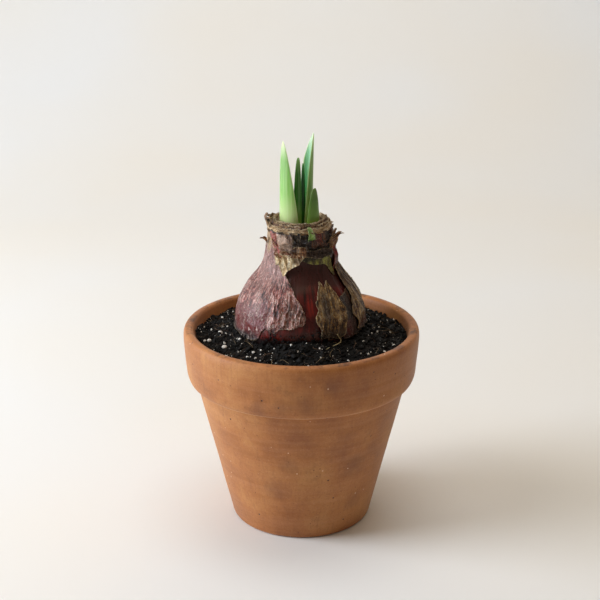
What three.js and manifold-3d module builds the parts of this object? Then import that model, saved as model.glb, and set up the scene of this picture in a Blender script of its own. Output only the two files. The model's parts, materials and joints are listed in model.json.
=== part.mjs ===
// An amaryllis bulb in leaf, planted in a terracotta pot of potting soil.
// Millimetres, +Z up. The origin is on the pot's axis, on the surface that the pot stands on.
// Azimuths are in degrees from the front (-Y), growing towards the right (+X).
import * as THREE from "three";
import { mergeVertices } from "three/addons/utils/BufferGeometryUtils.js";
import Module from "manifold-3d";

const wasm = await Module();
wasm.setup();

// ---------- driving dimensions ----------
const GAP = 0.3; // clearance between pieces that touch

const POT = {
  rimRadius: 75, height: 129, wall: 6.1, rimRound: 1.9,
  bandFoot: 95, bandRadius: 73.2, neckRadius: 67.6,
  footRadius: 45.6, footRing: 36, footHollow: 1.6,
  floor: 8, drainRadius: 7, segments: 48,
};
const SOIL = { atBulb: 128.4, atWall: 121.4, rings: [62, 54, 46, 36, 16], segments: 44 };
const AXIS_X = -1.2; // the bulb stands this far left of the pot's axis
const SKIN = { thickness: 0.5, firstGap: 0.5, layer: 0.9 }; // papery skins, and how far apart they lie

// Radius of the bulb's fleshy body at each height, from the basal plate to the cut neck.
const BULB_RADII = [
  [86, 13], [89, 23], [94, 30], [102, 35.4], [114, 39.4], [128, 40.6],
  [138, 40.1], [146, 38.2], [153, 35.1], [159, 31], [165, 26.2], [171, 22.6],
  [179, 20.9], [188, 19.4], [193, 18.9],
];
const BULB = { foot: BULB_RADII[0][0], top: BULB_RADII.at(-1)[0], segments: 44 };
const THROAT = { radius: 14.6, floor: 181 }; // the hollow that the leaves grow out of
const ROOTS = { count: 6, radius: 1.6 };

// ---------- small helpers ----------
const rad = THREE.MathUtils.degToRad;
const lerp = THREE.MathUtils.lerp;

// A smooth curve through [x, y] stations, held level past its ends.
function through(stations, x) {
  const last = stations.length - 1;
  if (x <= stations[0][0]) return stations[0][1];
  if (x >= stations[last][0]) return stations[last][1];
  let k = 0;
  while (x > stations[k + 1][0]) k++;
  const [x0, y0] = stations[k];
  const [x1, y1] = stations[k + 1];
  const before = stations[Math.max(k - 1, 0)];
  const after = stations[Math.min(k + 2, last)];
  const step = x1 - x0;
  const slope0 = (y1 - before[1]) / (x1 - before[0]);
  const slope1 = (after[1] - y0) / (after[0] - x0);
  const t = (x - x0) / step;
  const bend = t * (1 - t) * step;
  return y0 + (y1 - y0) * t * t * (3 - 2 * t) + bend * ((1 - t) * slope0 - t * slope1);
}

// The raggedness of a torn edge, between about -1 and 1.
function torn(x, seed) {
  const slow = 0.5 * Math.sin(x * 9 + seed) + 0.3 * Math.sin(x * 21 + seed * 2.3);
  return slow + 0.2 * Math.sin(x * 37 + seed * 4.1);
}

// How far the bulb's section departs from a circle.
function lobes(azimuth) {
  const a = rad(azimuth);
  return 1 + 0.008 * Math.cos(2 * a + 0.9) + 0.006 * Math.cos(3 * a - 0.4);
}

const azimuthOf = (x, y) => THREE.MathUtils.radToDeg(Math.atan2(x, -y));

// A point at an azimuth and a distance from a vertical axis.
function around(azimuth, radius, z, x = AXIS_X, y = 0) {
  const a = rad(azimuth);
  return new THREE.Vector3(x + radius * Math.sin(a), y - radius * Math.cos(a), z);
}

const onBulb = (azimuth, z, proud) => around(azimuth, (through(BULB_RADII, z) + proud) * lobes(azimuth), z);

function soilTop(azimuth, radius) {
  const a = rad(azimuth);
  const out = THREE.MathUtils.clamp((radius - 40) / 27, 0, 1);
  const mound = lerp(SOIL.atBulb, SOIL.atWall, out ** 1.25);
  return mound + 0.45 * Math.sin(3 * a + 0.6) * out + 0.35 * Math.sin(7 * a + radius * 0.12);
}

// A closed solid between two grids of points: outer(u, v) and inner(u, v), with u, v from 0 to 1.
function shell(outer, inner, columns, rows, wraps = false) {
  const across = wraps ? columns : columns + 1;
  const positions = [];
  for (const side of [outer, inner])
    for (let j = 0; j <= rows; j++)
      for (let i = 0; i < across; i++) positions.push(...side(i / columns, j / rows).toArray());
  const layer = across * (rows + 1);
  const at = (i, j, back) => back * layer + j * across + (i % across);
  const index = [];
  const quad = (a, b, c, d) => index.push(a, b, c, a, c, d);
  for (let i = 0; i < columns; i++) {
    for (let j = 0; j < rows; j++) {
      quad(at(i, j, 0), at(i + 1, j, 0), at(i + 1, j + 1, 0), at(i, j + 1, 0));
      quad(at(i + 1, j, 1), at(i, j, 1), at(i, j + 1, 1), at(i + 1, j + 1, 1));
    }
    quad(at(i, 0, 1), at(i + 1, 0, 1), at(i + 1, 0, 0), at(i, 0, 0));
    quad(at(i, rows, 0), at(i + 1, rows, 0), at(i + 1, rows, 1), at(i, rows, 1));
  }
  for (let j = 0; j < rows && !wraps; j++) {
    quad(at(0, j, 1), at(0, j, 0), at(0, j + 1, 0), at(0, j + 1, 1));
    quad(at(columns, j, 0), at(columns, j, 1), at(columns, j + 1, 1), at(columns, j + 1, 0));
  }
  const geometry = new THREE.BufferGeometry();
  geometry.setAttribute("position", new THREE.Float32BufferAttribute(positions, 3));
  geometry.setIndex(index);
  geometry.computeVertexNormals();
  return geometry;
}

// A solid of revolution about +Z from [radius, z] points that run upwards on the outside.
function turned(profile, segments) {
  const geometry = new THREE.LatheGeometry(profile.map(([r, z]) => new THREE.Vector2(r, z)), segments);
  return geometry.rotateX(Math.PI / 2);
}

// A round rod along a curve.
function rod(curve, radius, steps) {
  const section = new THREE.Shape().absarc(0, 0, radius, 0, 2 * Math.PI);
  const options = { steps, curveSegments: 4, bevelEnabled: false, extrudePath: curve };
  return new THREE.ExtrudeGeometry(section, options);
}

// ---------- booleans ----------
function solidOf(geometry) {
  const bare = geometry.index ? geometry.toNonIndexed() : geometry.clone();
  for (const name of Object.keys(bare.attributes)) if (name !== "position") bare.deleteAttribute(name);
  const merged = mergeVertices(bare, 1e-4);
  return new wasm.Manifold(new wasm.Mesh({
    numProp: 3,
    vertProperties: merged.attributes.position.array,
    triVerts: new Uint32Array(merged.index.array),
  }));
}

function cut(body, tools) {
  let solid = solidOf(body);
  for (const tool of tools) solid = solid.subtract(solidOf(tool));
  const { vertProperties, triVerts } = solid.getMesh();
  const geometry = new THREE.BufferGeometry();
  geometry.setAttribute("position", new THREE.BufferAttribute(vertProperties, 3));
  geometry.setIndex(new THREE.BufferAttribute(triVerts, 1));
  geometry.computeVertexNormals();
  return geometry;
}

// ---------- materials ----------
const matt = (color, roughness = 0.85) => new THREE.MeshStandardMaterial({ color, roughness, metalness: 0 });
const MATERIALS = {
  terracotta: matt(0xb5744b, 0.9),
  soil: matt(0x1c1510, 0.95),
  perlite: matt(0xe8e4dc, 0.9),
  root: matt(0xb9ad84, 0.6),
  flesh: matt(0x5a1a1a, 0.35),
  mauveSkin: matt(0x8d6a66, 0.6),
  brownSkin: matt(0x4c3229, 0.6),
  goldSkin: matt(0x9a7a48, 0.6),
  creamSkin: matt(0xd6c39a, 0.7),
  oliveScale: matt(0x7b7a3c, 0.5),
  paleLeaf: matt(0x9cc77a, 0.45),
  darkLeaf: matt(0x3f7a2c, 0.45),
};

const plant = new THREE.Group();

function add(name, geometry, material) {
  const mesh = new THREE.Mesh(geometry, material);
  mesh.name = name;
  plant.add(mesh);
}

// ---------- pot ----------
function potWall(z) {
  const slope = (POT.neckRadius - POT.footRadius) / (POT.bandFoot - 3);
  return POT.rimRadius - POT.wall - (POT.height - z) * slope;
}

function potProfile() {
  const { rimRadius: rim, height, rimRound, bandFoot, bandRadius, floor } = POT;
  const { footRadius: foot, drainRadius: drain } = POT;
  const mouth = rim - POT.wall;
  const path = new THREE.Path();
  path.moveTo(POT.footRing, 0);
  path.lineTo(foot - 3, 0);
  path.quadraticCurveTo(foot - 0.4, 0, foot, 3);
  path.lineTo(POT.neckRadius, bandFoot - 1);
  path.quadraticCurveTo(POT.neckRadius + 0.2, bandFoot, POT.neckRadius + 1.4, bandFoot + 0.2);
  path.quadraticCurveTo(bandRadius, bandFoot + 1.2, bandRadius + 0.4, bandFoot + 8);
  path.lineTo(rim - 0.4, height - 12);
  path.quadraticCurveTo(rim, height - 8, rim, height - 5);
  path.quadraticCurveTo(rim, height, rim - 2.6, height);
  path.lineTo(mouth + rimRound, height);
  path.quadraticCurveTo(mouth, height, potWall(height - 2.4), height - 2.4);
  path.lineTo(potWall(floor + 4), floor + 4);
  path.quadraticCurveTo(potWall(floor), floor, potWall(floor) - 4, floor);
  path.lineTo(drain + 1, floor);
  path.quadraticCurveTo(drain, floor, drain, floor - 1);
  path.lineTo(drain, POT.footHollow);
  path.lineTo(POT.footRing - 2, POT.footHollow);
  const points = path.getPoints(3).map((p) => [p.x, p.y]);
  return [...points, points[0]];
}

// ---------- potting soil ----------
function soilBody() {
  const floor = POT.floor + GAP;
  const profile = [[0, floor], [34, floor]];
  for (const z of [POT.floor + 5, SOIL.atWall]) profile.push([potWall(z) - GAP, z]);
  for (const r of SOIL.rings) profile.push([r, SOIL.atWall]);
  profile.push([0, SOIL.atWall]);
  const geometry = turned(profile, SOIL.segments);
  const place = geometry.attributes.position;
  for (let i = 0; i < place.count; i++) {
    if (place.getZ(i) < SOIL.atWall - GAP) continue;
    const [x, y] = [place.getX(i), place.getY(i)];
    place.setZ(i, soilTop(azimuthOf(x, y), Math.hypot(x, y)));
  }
  return geometry;
}

// ---------- bulb ----------
// Turns a profile about the bulb's axis and presses it to the bulb's lobed section.
function lobed(profile) {
  const geometry = turned(profile, BULB.segments);
  const place = geometry.attributes.position;
  for (let i = 0; i < place.count; i++) {
    const [x, y] = [place.getX(i), place.getY(i)];
    const factor = lobes(azimuthOf(x, y));
    place.setXY(i, AXIS_X + x * factor, y * factor);
  }
  return geometry;
}

function bulbBody() {
  const side = BULB_RADII.map(([z, r]) => [r, z]);
  const throat = [[THROAT.radius, BULB.top], [THROAT.radius, THROAT.floor], [0, THROAT.floor]];
  return lobed([[0, BULB.foot], ...side, ...throat]);
}

// The room that the bulb takes in the soil, with clearance.
function bulbHollow() {
  const side = BULB_RADII.filter(([z]) => z < 140).map(([z, r]) => [r + GAP, z]);
  const base = BULB.foot - GAP;
  return lobed([[0, base], [BULB_RADII[0][1] + GAP, base], ...side, [0, side.at(-1)[1]]]);
}

// ---------- roots ----------
// Fleshy roots fan out from the basal plate and down through the soil.
function rootCurve(k) {
  const azimuth = (360 / ROOTS.count) * k + 14 * Math.sin(k * 2.1);
  const reach = 22 + 6 * Math.sin(k * 1.7);
  const depth = 46 + 9 * Math.sin(k * 2.6 + 1);
  const start = BULB.foot - 2 * GAP;
  const stations = [[8, 0], [9.5, 0.15], [lerp(9, reach, 0.45), 0.5], [reach, 1]];
  return new THREE.CatmullRomCurve3(
    stations.map(([radius, t], i) => around(azimuth + 6 * i * Math.sin(k), radius, start - depth * t)),
  );
}

// One thin root has pushed up beside the bulb and bends down on to the soil.
function surfaceRoot() {
  const stations = [[32, 43.6, 135.6], [35.5, 43.6, 131.8], [29, 44.4, 129.6], [19, 47, 128.3]];
  return rod(new THREE.CatmullRomCurve3(stations.map((station) => around(...station))), 0.45, 9);
}

// ---------- papery skins ----------
// A skin patch lies on the bulb between two torn sides and two torn ends. Layer 0 is next to the body.
function skinPatch({ sides, ends, layer, columns, rows, tear = 0.6, seed = 1, lift = () => 0 }) {
  const base = SKIN.firstGap + layer * SKIN.layer;
  const place = (proud) => (u, v) => {
    const low = ends[0](u) + tear * torn(u * 3, seed);
    const high = ends[1](u) + tear * torn(u * 3, seed + 5);
    const z = lerp(low, high, v);
    const azimuth = lerp(sides[0](z), sides[1](z), u) + tear * (2 * u - 1) * torn(z * 0.08, seed + 9);
    return onBulb(azimuth, z, base + proud + lift(u, v));
  };
  return shell(place(SKIN.thickness), place(0), columns, rows);
}

const SKINS = {
  // The big mauve outer skin wraps the left and the back, and its torn edge crosses the front.
  tunic_left: {
    material: "mauveSkin", layer: 0, columns: 22, rows: 10, seed: 2,
    sides: [
      () => -172,
      (z) => through([
        [140, 3], [147, 6], [151, 4], [156, 0], [160, -6], [165, -12], [170, -22], [180, -40], [190, -62],
      ], z),
    ],
    ends: [
      (u) => through([
        [0, 133], [0.45, 134], [0.58, 137], [0.66, 140], [0.75, 135.5], [0.86, 138.5], [1, 142.5],
      ], u),
      (u) => through([[0, 191], [0.7, 191.5], [1, 189]], u),
    ],
  },
  // The grey-brown skin on the right, torn open at the front right.
  tunic_right: {
    material: "brownSkin", layer: 1, columns: 14, rows: 8, seed: 4,
    sides: [(z) => through([[132, 60], [145, 57], [155, 62], [170, 65]], z), () => 196],
    ends: [
      (u) => through([[0, 134], [0.2, 131.6], [0.6, 131.4], [1, 133]], u),
      (u) => through([[0, 169.5], [0.3, 174], [1, 176]], u),
    ],
  },
  // Smooth brown skin seen between the golden flake and the right-hand skin.
  tunic_middle: {
    material: "brownSkin", layer: 0, columns: 5, rows: 4, seed: 6, tear: 0.4,
    sides: [() => 33, () => 74],
    ends: [() => 131.6, (u) => through([[0, 150], [0.5, 152.5], [1, 155]], u)],
  },
  // The golden flake stands loose at the front right, split into two tips.
  tunic_gold: {
    material: "goldSkin", layer: 1, columns: 8, rows: 6, seed: 8, tear: 0.4,
    sides: [
      (z) => through([[134, 17], [147, 14.5], [155, 16], [160, 20], [166, 22]], z),
      (z) => through([[134, 33], [144, 42], [152, 46], [158, 45], [166, 37]], z),
    ],
    ends: [() => 134, (u) => through([[0, 165.5], [0.25, 166.5], [0.5, 162], [0.75, 166], [1, 163.5]], u)],
    lift: (u, v) => 1.1 * v ** 3,
  },
  // Silvery brown skin on the left of the neck, with a red stripe.
  neck_skin_left: {
    material: "brownSkin", layer: 0, columns: 8, rows: 3, seed: 3, tear: 0.3,
    sides: [(z) => through([[183, -42], [190, -57]], z), () => 4],
    ends: [() => 183.5, () => 192.2],
  },
  neck_skin_right: {
    material: "brownSkin", layer: 0, columns: 9, rows: 3, seed: 5, tear: 0.3,
    sides: [() => 8, () => 92],
    ends: [() => 183.5, () => 192.2],
  },
  neck_skin_back: {
    material: "brownSkin", layer: 0, columns: 9, rows: 3, seed: 7, tear: 0.3,
    sides: [() => 97, () => 182],
    ends: [() => 179, () => 192.2],
  },
  // The wrinkled fold that crosses the front of the neck.
  neck_fold: {
    material: "brownSkin", layer: 1, columns: 12, rows: 3, seed: 11, tear: 0.3,
    sides: [() => -36, () => 60],
    ends: [() => 180.2, () => 184.2],
    lift: (u, v) => 0.5 * Math.sin(Math.PI * v),
  },
  // The cream flap hangs to a point below the fold.
  neck_flap: {
    material: "creamSkin", layer: 1, columns: 8, rows: 4, seed: 12, tear: 0.25,
    sides: [() => -38, () => 4],
    ends: [
      (u) => through([[0, 175.8], [0.38, 168.2], [0.62, 173.4], [1, 176.6]], u),
      () => 179.2,
    ],
    lift: (u, v) => 0.5 * (1 - v),
  },
  // A strip of olive-green living scale on the right of the neck.
  olive_scale: {
    material: "oliveScale", layer: 0, columns: 8, rows: 3, seed: 13, tear: 0.2,
    sides: [() => 5, () => 60],
    ends: [
      (u) => through([[0, 178], [0.5, 174.6], [0.85, 170.5], [1, 166.5]], u),
      (u) => through([[0, 180.4], [0.5, 180.6], [1, 180]], u),
    ],
  },
};

// Loose flakes and curls stand away from the neck. Each is a bowed sheet with four corners, given as
// azimuth, distance from the bulb's axis and height, anticlockwise as seen from outside.
function flake({ corners, thickness = 0.6, bow = 0.9 }) {
  const [a, b, c, d] = corners.map(([azimuth, radius, z]) => around(azimuth, radius, z));
  const normal = b.clone().sub(a).cross(d.clone().sub(a)).normalize();
  const place = (side) => (u, v) => {
    const low = a.clone().lerp(b, u);
    const high = d.clone().lerp(c, u);
    return low.lerp(high, v).addScaledVector(normal, side + bow * Math.sin(Math.PI * u) * (0.4 + v));
  };
  return shell(place(thickness), place(0), 4, 4);
}

const FLAKES = {
  red_flake_right: {
    material: "flesh",
    corners: [[62, 24.4, 172], [78, 24.4, 172], [76, 23.6, 183], [64, 23.6, 182]],
  },
  curl_right: {
    material: "brownSkin",
    corners: [[62, 21.2, 186], [74, 21.2, 186], [76, 26.4, 194], [58, 25.4, 192]],
  },
  curl_left: {
    material: "brownSkin",
    corners: [[-80, 21.2, 187], [-68, 21.2, 187], [-66, 24.2, 191], [-80, 25.4, 190]],
  },
  green_tip_front: {
    material: "paleLeaf", thickness: 1, bow: 0.5,
    corners: [[15, 21.4, 189.5], [26, 21.4, 189.5], [28, 20.8, 198], [18, 20.8, 197]],
  },
};

// ---------- old sheath ends around the leaves ----------
const SHEATHS = [
  { radius: 18.1, top: 198.2, seed: 1 },
  { radius: 17.1, top: 199, seed: 4 },
  { radius: 16.1, top: 199.8, seed: 7 },
  { radius: 15.1, top: 200.4, seed: 9 },
];
function sheathRing({ radius, top, seed }) {
  const place = (proud) => (u, v) => {
    const ragged = 0.9 * torn(Math.sin(2 * Math.PI * u + seed) * 2, seed);
    const z = lerp(BULB.top + GAP, top + ragged, v);
    return around(360 * u, radius + proud, z);
  };
  return shell(place(0.7), place(0), 28, 1, true);
}

// ---------- leaves ----------
// A leaf is a slice of a tube about an upright axis. It narrows from its two edges to a point at tip.
// Azimuths are about that axis, none goes past reach, and the leaf's convex back faces outwards.
function leaf({ axis, radius, edges, tip, height, reach = 360, lean = 0, thick = 1.5, taper = 0.5 }) {
  const foot = THROAT.floor + GAP;
  const place = (inset) => (u, v) => {
    const rise = v ** 0.9;
    const width = Math.max((1 - rise) ** taper, 0.06);
    const far = Math.min(lerp(tip, edges[1], width), reach);
    const azimuth = lerp(lerp(tip, edges[0], width), far, u);
    const depth = inset * lerp(1, 0.4, rise);
    return around(azimuth, radius - depth, foot + height * rise, axis[0] + lean * rise ** 1.5, axis[1]);
  };
  return shell(place(0), place(thick), 8, 9);
}

const LEAVES = {
  leaf_left: {
    material: "paleLeaf", axis: [-4, -1], radius: 9.7, edges: [-116, 27], tip: -52,
    height: 67.5, taper: 0.62,
  },
  leaf_centre: {
    material: "darkLeaf", axis: [-2, -0.6], radius: 4.7, edges: [-64, 36], tip: -12,
    height: 57, lean: 1, taper: 0.36,
  },
  leaf_inner: {
    material: "darkLeaf", axis: [1, 3], radius: 3.2, edges: [-48, 48], tip: 0,
    height: 52.5, thick: 1.1, taper: 0.4,
  },
  // This one is a channel, and the far side of it shows past its near margin.
  leaf_right: {
    material: "paleLeaf", axis: [1.4, 0], radius: 5.6, edges: [-8, 278], tip: 86,
    height: 71.5, reach: 190, lean: 1.2, thick: 1.3, taper: 0.45,
  },
  leaf_short: {
    material: "darkLeaf", axis: [4.6, -3], radius: 7.4, edges: [-20, 90], tip: 36,
    height: 39, lean: -0.4,
  },
};

// ---------- perlite ----------
// Where the largest grains lie: azimuth and distance from the pot's axis, each half sunk in the soil.
const GRAINS = [
  [-62, 54], [-57, 56.5], [-34, 52], [-79, 52], [-74, 60], [-47, 62],
  [-19, 63], [55, 62], [68, 62], [16, 65], [25, 64.5], [147, 56],
];
function perliteGrain([azimuth, radius], k, clearance = 0) {
  const size = 1.2 + 0.35 * Math.sin(k * 2.3);
  const at = around(azimuth, radius, soilTop(azimuth, radius), 0);
  const geometry = new THREE.DodecahedronGeometry(size + clearance);
  return geometry.scale(1.15, 1, 0.85).rotateZ(k * 0.9).translate(at.x, at.y, at.z + size * 0.3);
}

// ---------- assembly ----------
const rootCurves = Array.from({ length: ROOTS.count }, (_, k) => rootCurve(k));
const hollows = [
  bulbHollow(),
  ...rootCurves.map((curve) => rod(curve, ROOTS.radius + GAP, 6)),
  ...GRAINS.map((grain, k) => perliteGrain(grain, k, GAP)),
];

add("terracotta_pot", turned(potProfile(), POT.segments), MATERIALS.terracotta);
add("potting_soil", cut(soilBody(), hollows), MATERIALS.soil);
add("bulb", bulbBody(), MATERIALS.flesh);
rootCurves.forEach((curve, k) => add(`root_${k + 1}`, rod(curve, ROOTS.radius, 6), MATERIALS.root));
add("surface_root", surfaceRoot(), MATERIALS.root);

for (const [name, skin] of Object.entries(SKINS)) add(name, skinPatch(skin), MATERIALS[skin.material]);
for (const [name, loose] of Object.entries(FLAKES)) add(name, flake(loose), MATERIALS[loose.material]);
SHEATHS.forEach((sheath, k) => add(`neck_sheath_${k + 1}`, sheathRing(sheath), MATERIALS.creamSkin));
for (const [name, blade] of Object.entries(LEAVES)) add(name, leaf(blade), MATERIALS[blade.material]);
GRAINS.forEach((grain, k) => add(`perlite_${k + 1}`, perliteGrain(grain, k), MATERIALS.perlite));

export default plant;
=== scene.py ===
"""An amaryllis bulb in leaf, in a terracotta pot. Sizes in the settings are millimetres unless they say so.

Azimuths are degrees from the front (-Y), growing towards the right (+X).
"""
import json
import math

import bmesh
import bpy
import numpy as np
from bpy.props import FloatProperty, FloatVectorProperty, IntProperty, PointerProperty
from bpy.types import NodeSocket, Operator, Panel, PropertyGroup
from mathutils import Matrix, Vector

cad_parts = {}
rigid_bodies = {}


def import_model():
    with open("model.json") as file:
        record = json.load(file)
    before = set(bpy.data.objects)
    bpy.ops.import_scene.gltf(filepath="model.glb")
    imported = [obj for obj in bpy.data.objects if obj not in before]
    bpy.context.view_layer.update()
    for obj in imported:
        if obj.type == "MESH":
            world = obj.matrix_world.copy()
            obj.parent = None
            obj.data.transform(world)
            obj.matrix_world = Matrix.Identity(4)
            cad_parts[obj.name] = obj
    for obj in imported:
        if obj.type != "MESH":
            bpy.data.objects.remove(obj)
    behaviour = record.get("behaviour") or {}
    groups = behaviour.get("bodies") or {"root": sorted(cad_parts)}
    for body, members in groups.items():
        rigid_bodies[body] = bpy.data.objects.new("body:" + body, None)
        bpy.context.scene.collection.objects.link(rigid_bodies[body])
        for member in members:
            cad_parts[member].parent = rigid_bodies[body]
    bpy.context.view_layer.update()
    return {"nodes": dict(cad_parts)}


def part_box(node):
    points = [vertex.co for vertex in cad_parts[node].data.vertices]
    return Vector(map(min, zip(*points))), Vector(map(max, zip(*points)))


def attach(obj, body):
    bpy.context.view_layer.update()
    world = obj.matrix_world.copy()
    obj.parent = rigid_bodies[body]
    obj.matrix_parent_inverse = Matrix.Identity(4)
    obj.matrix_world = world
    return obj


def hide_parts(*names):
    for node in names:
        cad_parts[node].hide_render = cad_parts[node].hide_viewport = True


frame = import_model()

bl_info = {
    "name": "Potted Amaryllis Bulb",
    "version": (1, 0, 0),
    "blender": (4, 5, 0),
    "location": "3D View > Sidebar > Amaryllis",
    "description": "Builds an amaryllis bulb in leaf, planted in a terracotta pot",
    "category": "Add Mesh",
}

MM = 0.001
UV_MM = 100  # one unit of the skins' UV maps is this many millimetres

# ---------- sizes taken from the frame ----------
POT_LOW, POT_HIGH = (np.array(corner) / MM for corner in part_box("terracotta_pot"))
RING_LOW, RING_HIGH = (np.array(corner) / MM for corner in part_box("neck_sheath_1"))
LEAF_TOP = {name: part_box(name)[1][2] / MM for name in frame["nodes"] if name.startswith("leaf_")}
AXIS_X = float(RING_LOW[0] + RING_HIGH[0]) / 2  # the bulb's own axis, a little left of the pot's

# Radius of the bulb's fleshy body at each height, from the basal plate to the cut neck.
BULB_RADII = [
    (86, 13), (89, 23), (94, 30), (102, 35.4), (114, 39.4), (128, 40.6),
    (138, 40.1), (146, 38.2), (153, 35.1), (159, 31), (165, 26.2), (171, 22.6),
    (179, 20.9), (188, 19.4), (193, 18.9), (200, 18.4),
]
BULB_TOP = 193
THROAT_FLOOR = 181


# ---------- numbers ----------
def srgb(code):
    """Turns an sRGB hex code into linear red, green, blue and alpha."""
    channels = [int(code[i:i + 2], 16) / 255 for i in (1, 3, 5)]
    return (*[c / 12.92 if c <= 0.04045 else ((c + 0.055) / 1.055) ** 2.4 for c in channels], 1.0)


def through(stations, x):
    """A smooth curve through (x, y) stations, held level past its ends."""
    xs, ys = np.array(stations, float).T
    x = np.clip(np.asarray(x, float), xs[0], xs[-1])
    k = np.clip(np.searchsorted(xs, x, side="right") - 1, 0, len(xs) - 2)
    before = np.maximum(k - 1, 0)
    after = np.minimum(k + 2, len(xs) - 1)
    step = xs[k + 1] - xs[k]
    slope0 = (ys[k + 1] - ys[before]) / (xs[k + 1] - xs[before])
    slope1 = (ys[after] - ys[k]) / (xs[after] - xs[k])
    t = (x - xs[k]) / step
    bend = t * (1 - t) * step * ((1 - t) * slope0 - t * slope1)
    return ys[k] + (ys[k + 1] - ys[k]) * t * t * (3 - 2 * t) + bend


def ramp(low, high, x):
    """0 below low, 1 above high and smooth between. It falls where low is the greater."""
    t = np.clip((np.asarray(x, float) - low) / (high - low), 0, 1)
    return t * t * (3 - 2 * t)


def bump(centre, reach, x):
    return np.exp(-(((np.asarray(x, float) - centre) / reach) ** 2))


def lattice(cells, seed):
    i, j, k = cells
    code = (i * 73856093) ^ (j * 19349663) ^ (k * 83492791) ^ (seed * 15485863 + 977)
    code = (code ^ (code >> 13)) * 1274126177 & 0x7FFFFFFF
    return ((code ^ (code >> 15)) & 0xFFFF) / 0xFFFF


def noise(x, y, z=0.0, seed=0):
    """Smooth noise from -1 to 1, one cell to a unit."""
    x, y, z = np.broadcast_arrays(*(np.asarray(c, float) for c in (x, y, z)))
    cells = [np.floor(c).astype(np.int64) for c in (x, y, z)]
    inside = [c - f for c, f in zip((x, y, z), cells)]
    inside = [t * t * t * (t * (6 * t - 15) + 10) for t in inside]
    total = 0
    for corner in range(8):
        steps = [corner >> axis & 1 for axis in range(3)]
        weight = np.prod([t if s else 1 - t for t, s in zip(inside, steps)], axis=0)
        total = total + weight * lattice([c + s for c, s in zip(cells, steps)], seed)
    return total * 2 - 1


def rough(x, y, z=0.0, octaves=3, seed=0):
    """Layers of noise, each half the size and half the strength of the last, from about -1 to 1."""
    total = 0
    for k in range(octaves):
        total = total + noise(np.asarray(x) * 2 ** k, np.asarray(y) * 2 ** k, np.asarray(z) * 2 ** k, seed + k) / 2 ** k
    return total / 1.5


def lobes(azimuth):
    """How far the bulb's section departs from a circle."""
    a = np.radians(azimuth)
    return 1 + 0.008 * np.cos(2 * a + 0.9) + 0.006 * np.cos(3 * a - 0.4)


def around(azimuth, radius, z, x=AXIS_X, y=0.0):
    """Points, in metres, at an azimuth and a distance in millimetres from an upright axis."""
    a = np.radians(azimuth)
    return np.stack(np.broadcast_arrays(x + radius * np.sin(a), y - radius * np.cos(a), z), -1) * MM


def bulb_radius(azimuth, z):
    return through(BULB_RADII, z) * lobes(azimuth)


def soil_height(x, y, settings):
    """Height of the raked soil at x, y, all in millimetres."""
    radius = np.hypot(x, y)
    a = np.arctan2(x, -np.asarray(y))
    out = np.clip((radius - 40) / 27, 0, 1)
    mound = settings.at_bulb + (settings.at_wall - settings.at_bulb) * out ** 1.25
    mound = mound + settings.heap * bump(0.06, 0.36, a) * ramp(53, 42, radius)
    return mound + 0.45 * np.sin(3 * a + 0.6) * out + 0.35 * np.sin(7 * a + radius * 0.12)


# ---------- meshes ----------
def mesh_object(name, points, faces, material=None, smooth=True):
    mesh = bpy.data.meshes.new(name)
    mesh.from_pydata([tuple(p) for p in points.reshape(-1, 3)], [], faces)
    mesh.update()
    made = bpy.data.objects.new(name, mesh)
    bpy.context.scene.collection.objects.link(made)
    mesh.polygons.foreach_set("use_smooth", [smooth] * len(mesh.polygons))
    if material:
        mesh.materials.append(material)
    return made


def grid_object(name, points, material, wraps=False, caps=(), fields=None, uv=None):
    """A surface through rows of points. wraps joins its two sides, and caps closes rows 0 and -1 of it."""
    rows, columns = points.shape[:2]
    index = np.arange(rows * columns).reshape(rows, columns)
    ring = np.concatenate([index, index[:, :1]], 1) if wraps else index
    quads = np.stack([ring[:-1, :-1], ring[:-1, 1:], ring[1:, 1:], ring[1:, :-1]], -1)
    faces = quads.reshape(-1, 4).tolist()
    if 0 in caps:
        faces.append(index[0, ::-1].tolist())
    if -1 in caps:
        faces.append(index[-1].tolist())
    made = mesh_object(name, points, faces, material)
    for field, values in (fields or {}).items():
        attribute = made.data.attributes.new(field, "FLOAT", "POINT")
        attribute.data.foreach_set("value", np.broadcast_to(values, (rows, columns)).astype(float).ravel())
    if uv is not None:
        corners = np.zeros(len(made.data.loops), dtype=np.int32)
        made.data.loops.foreach_get("vertex_index", corners)
        flat = np.stack(np.broadcast_arrays(*uv), -1).reshape(-1, 2) / UV_MM
        made.data.uv_layers.new(name="UVMap").data.foreach_set("uv", flat[corners].ravel())
    return made


def thicken(piece, thickness):
    """Gives a sheet its thickness, inwards from the surface that it was drawn on."""
    wall = piece.modifiers.new("Thickness", "SOLIDIFY")
    wall.thickness = thickness * MM
    wall.offset = -1
    return piece


def seat(piece, slot, *nodes):
    """Fixes a piece to the plant and hides the plain solids that it stands for. Its slot is not used."""
    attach(piece, "root")
    if nodes:
        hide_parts(*nodes)
    return piece


# ---------- nodes ----------
def add(tree, kind, inputs=None, stops=None, **settings):
    """Adds a node with its settings, its colour stops, and its inputs as values or links."""
    made = tree.nodes.new(kind)
    for name, value in settings.items():
        setattr(made, name, value)
    if stops:
        band = made.color_ramp.elements
        while len(band) < len(stops):
            band.new(0.5)
        for element, (position, colour) in zip(band, stops):
            element.position = position
            element.color = colour
    for socket, value in (inputs or {}).items():
        if isinstance(value, NodeSocket):
            tree.links.new(value, made.inputs[socket])
        else:
            made.inputs[socket].default_value = value
    return made


def blank(name):
    """A new material with its tree and its Principled shader."""
    material = bpy.data.materials.new(name)
    material.use_nodes = True
    tree = material.node_tree
    return material, tree, tree.nodes["Principled BSDF"]


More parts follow.
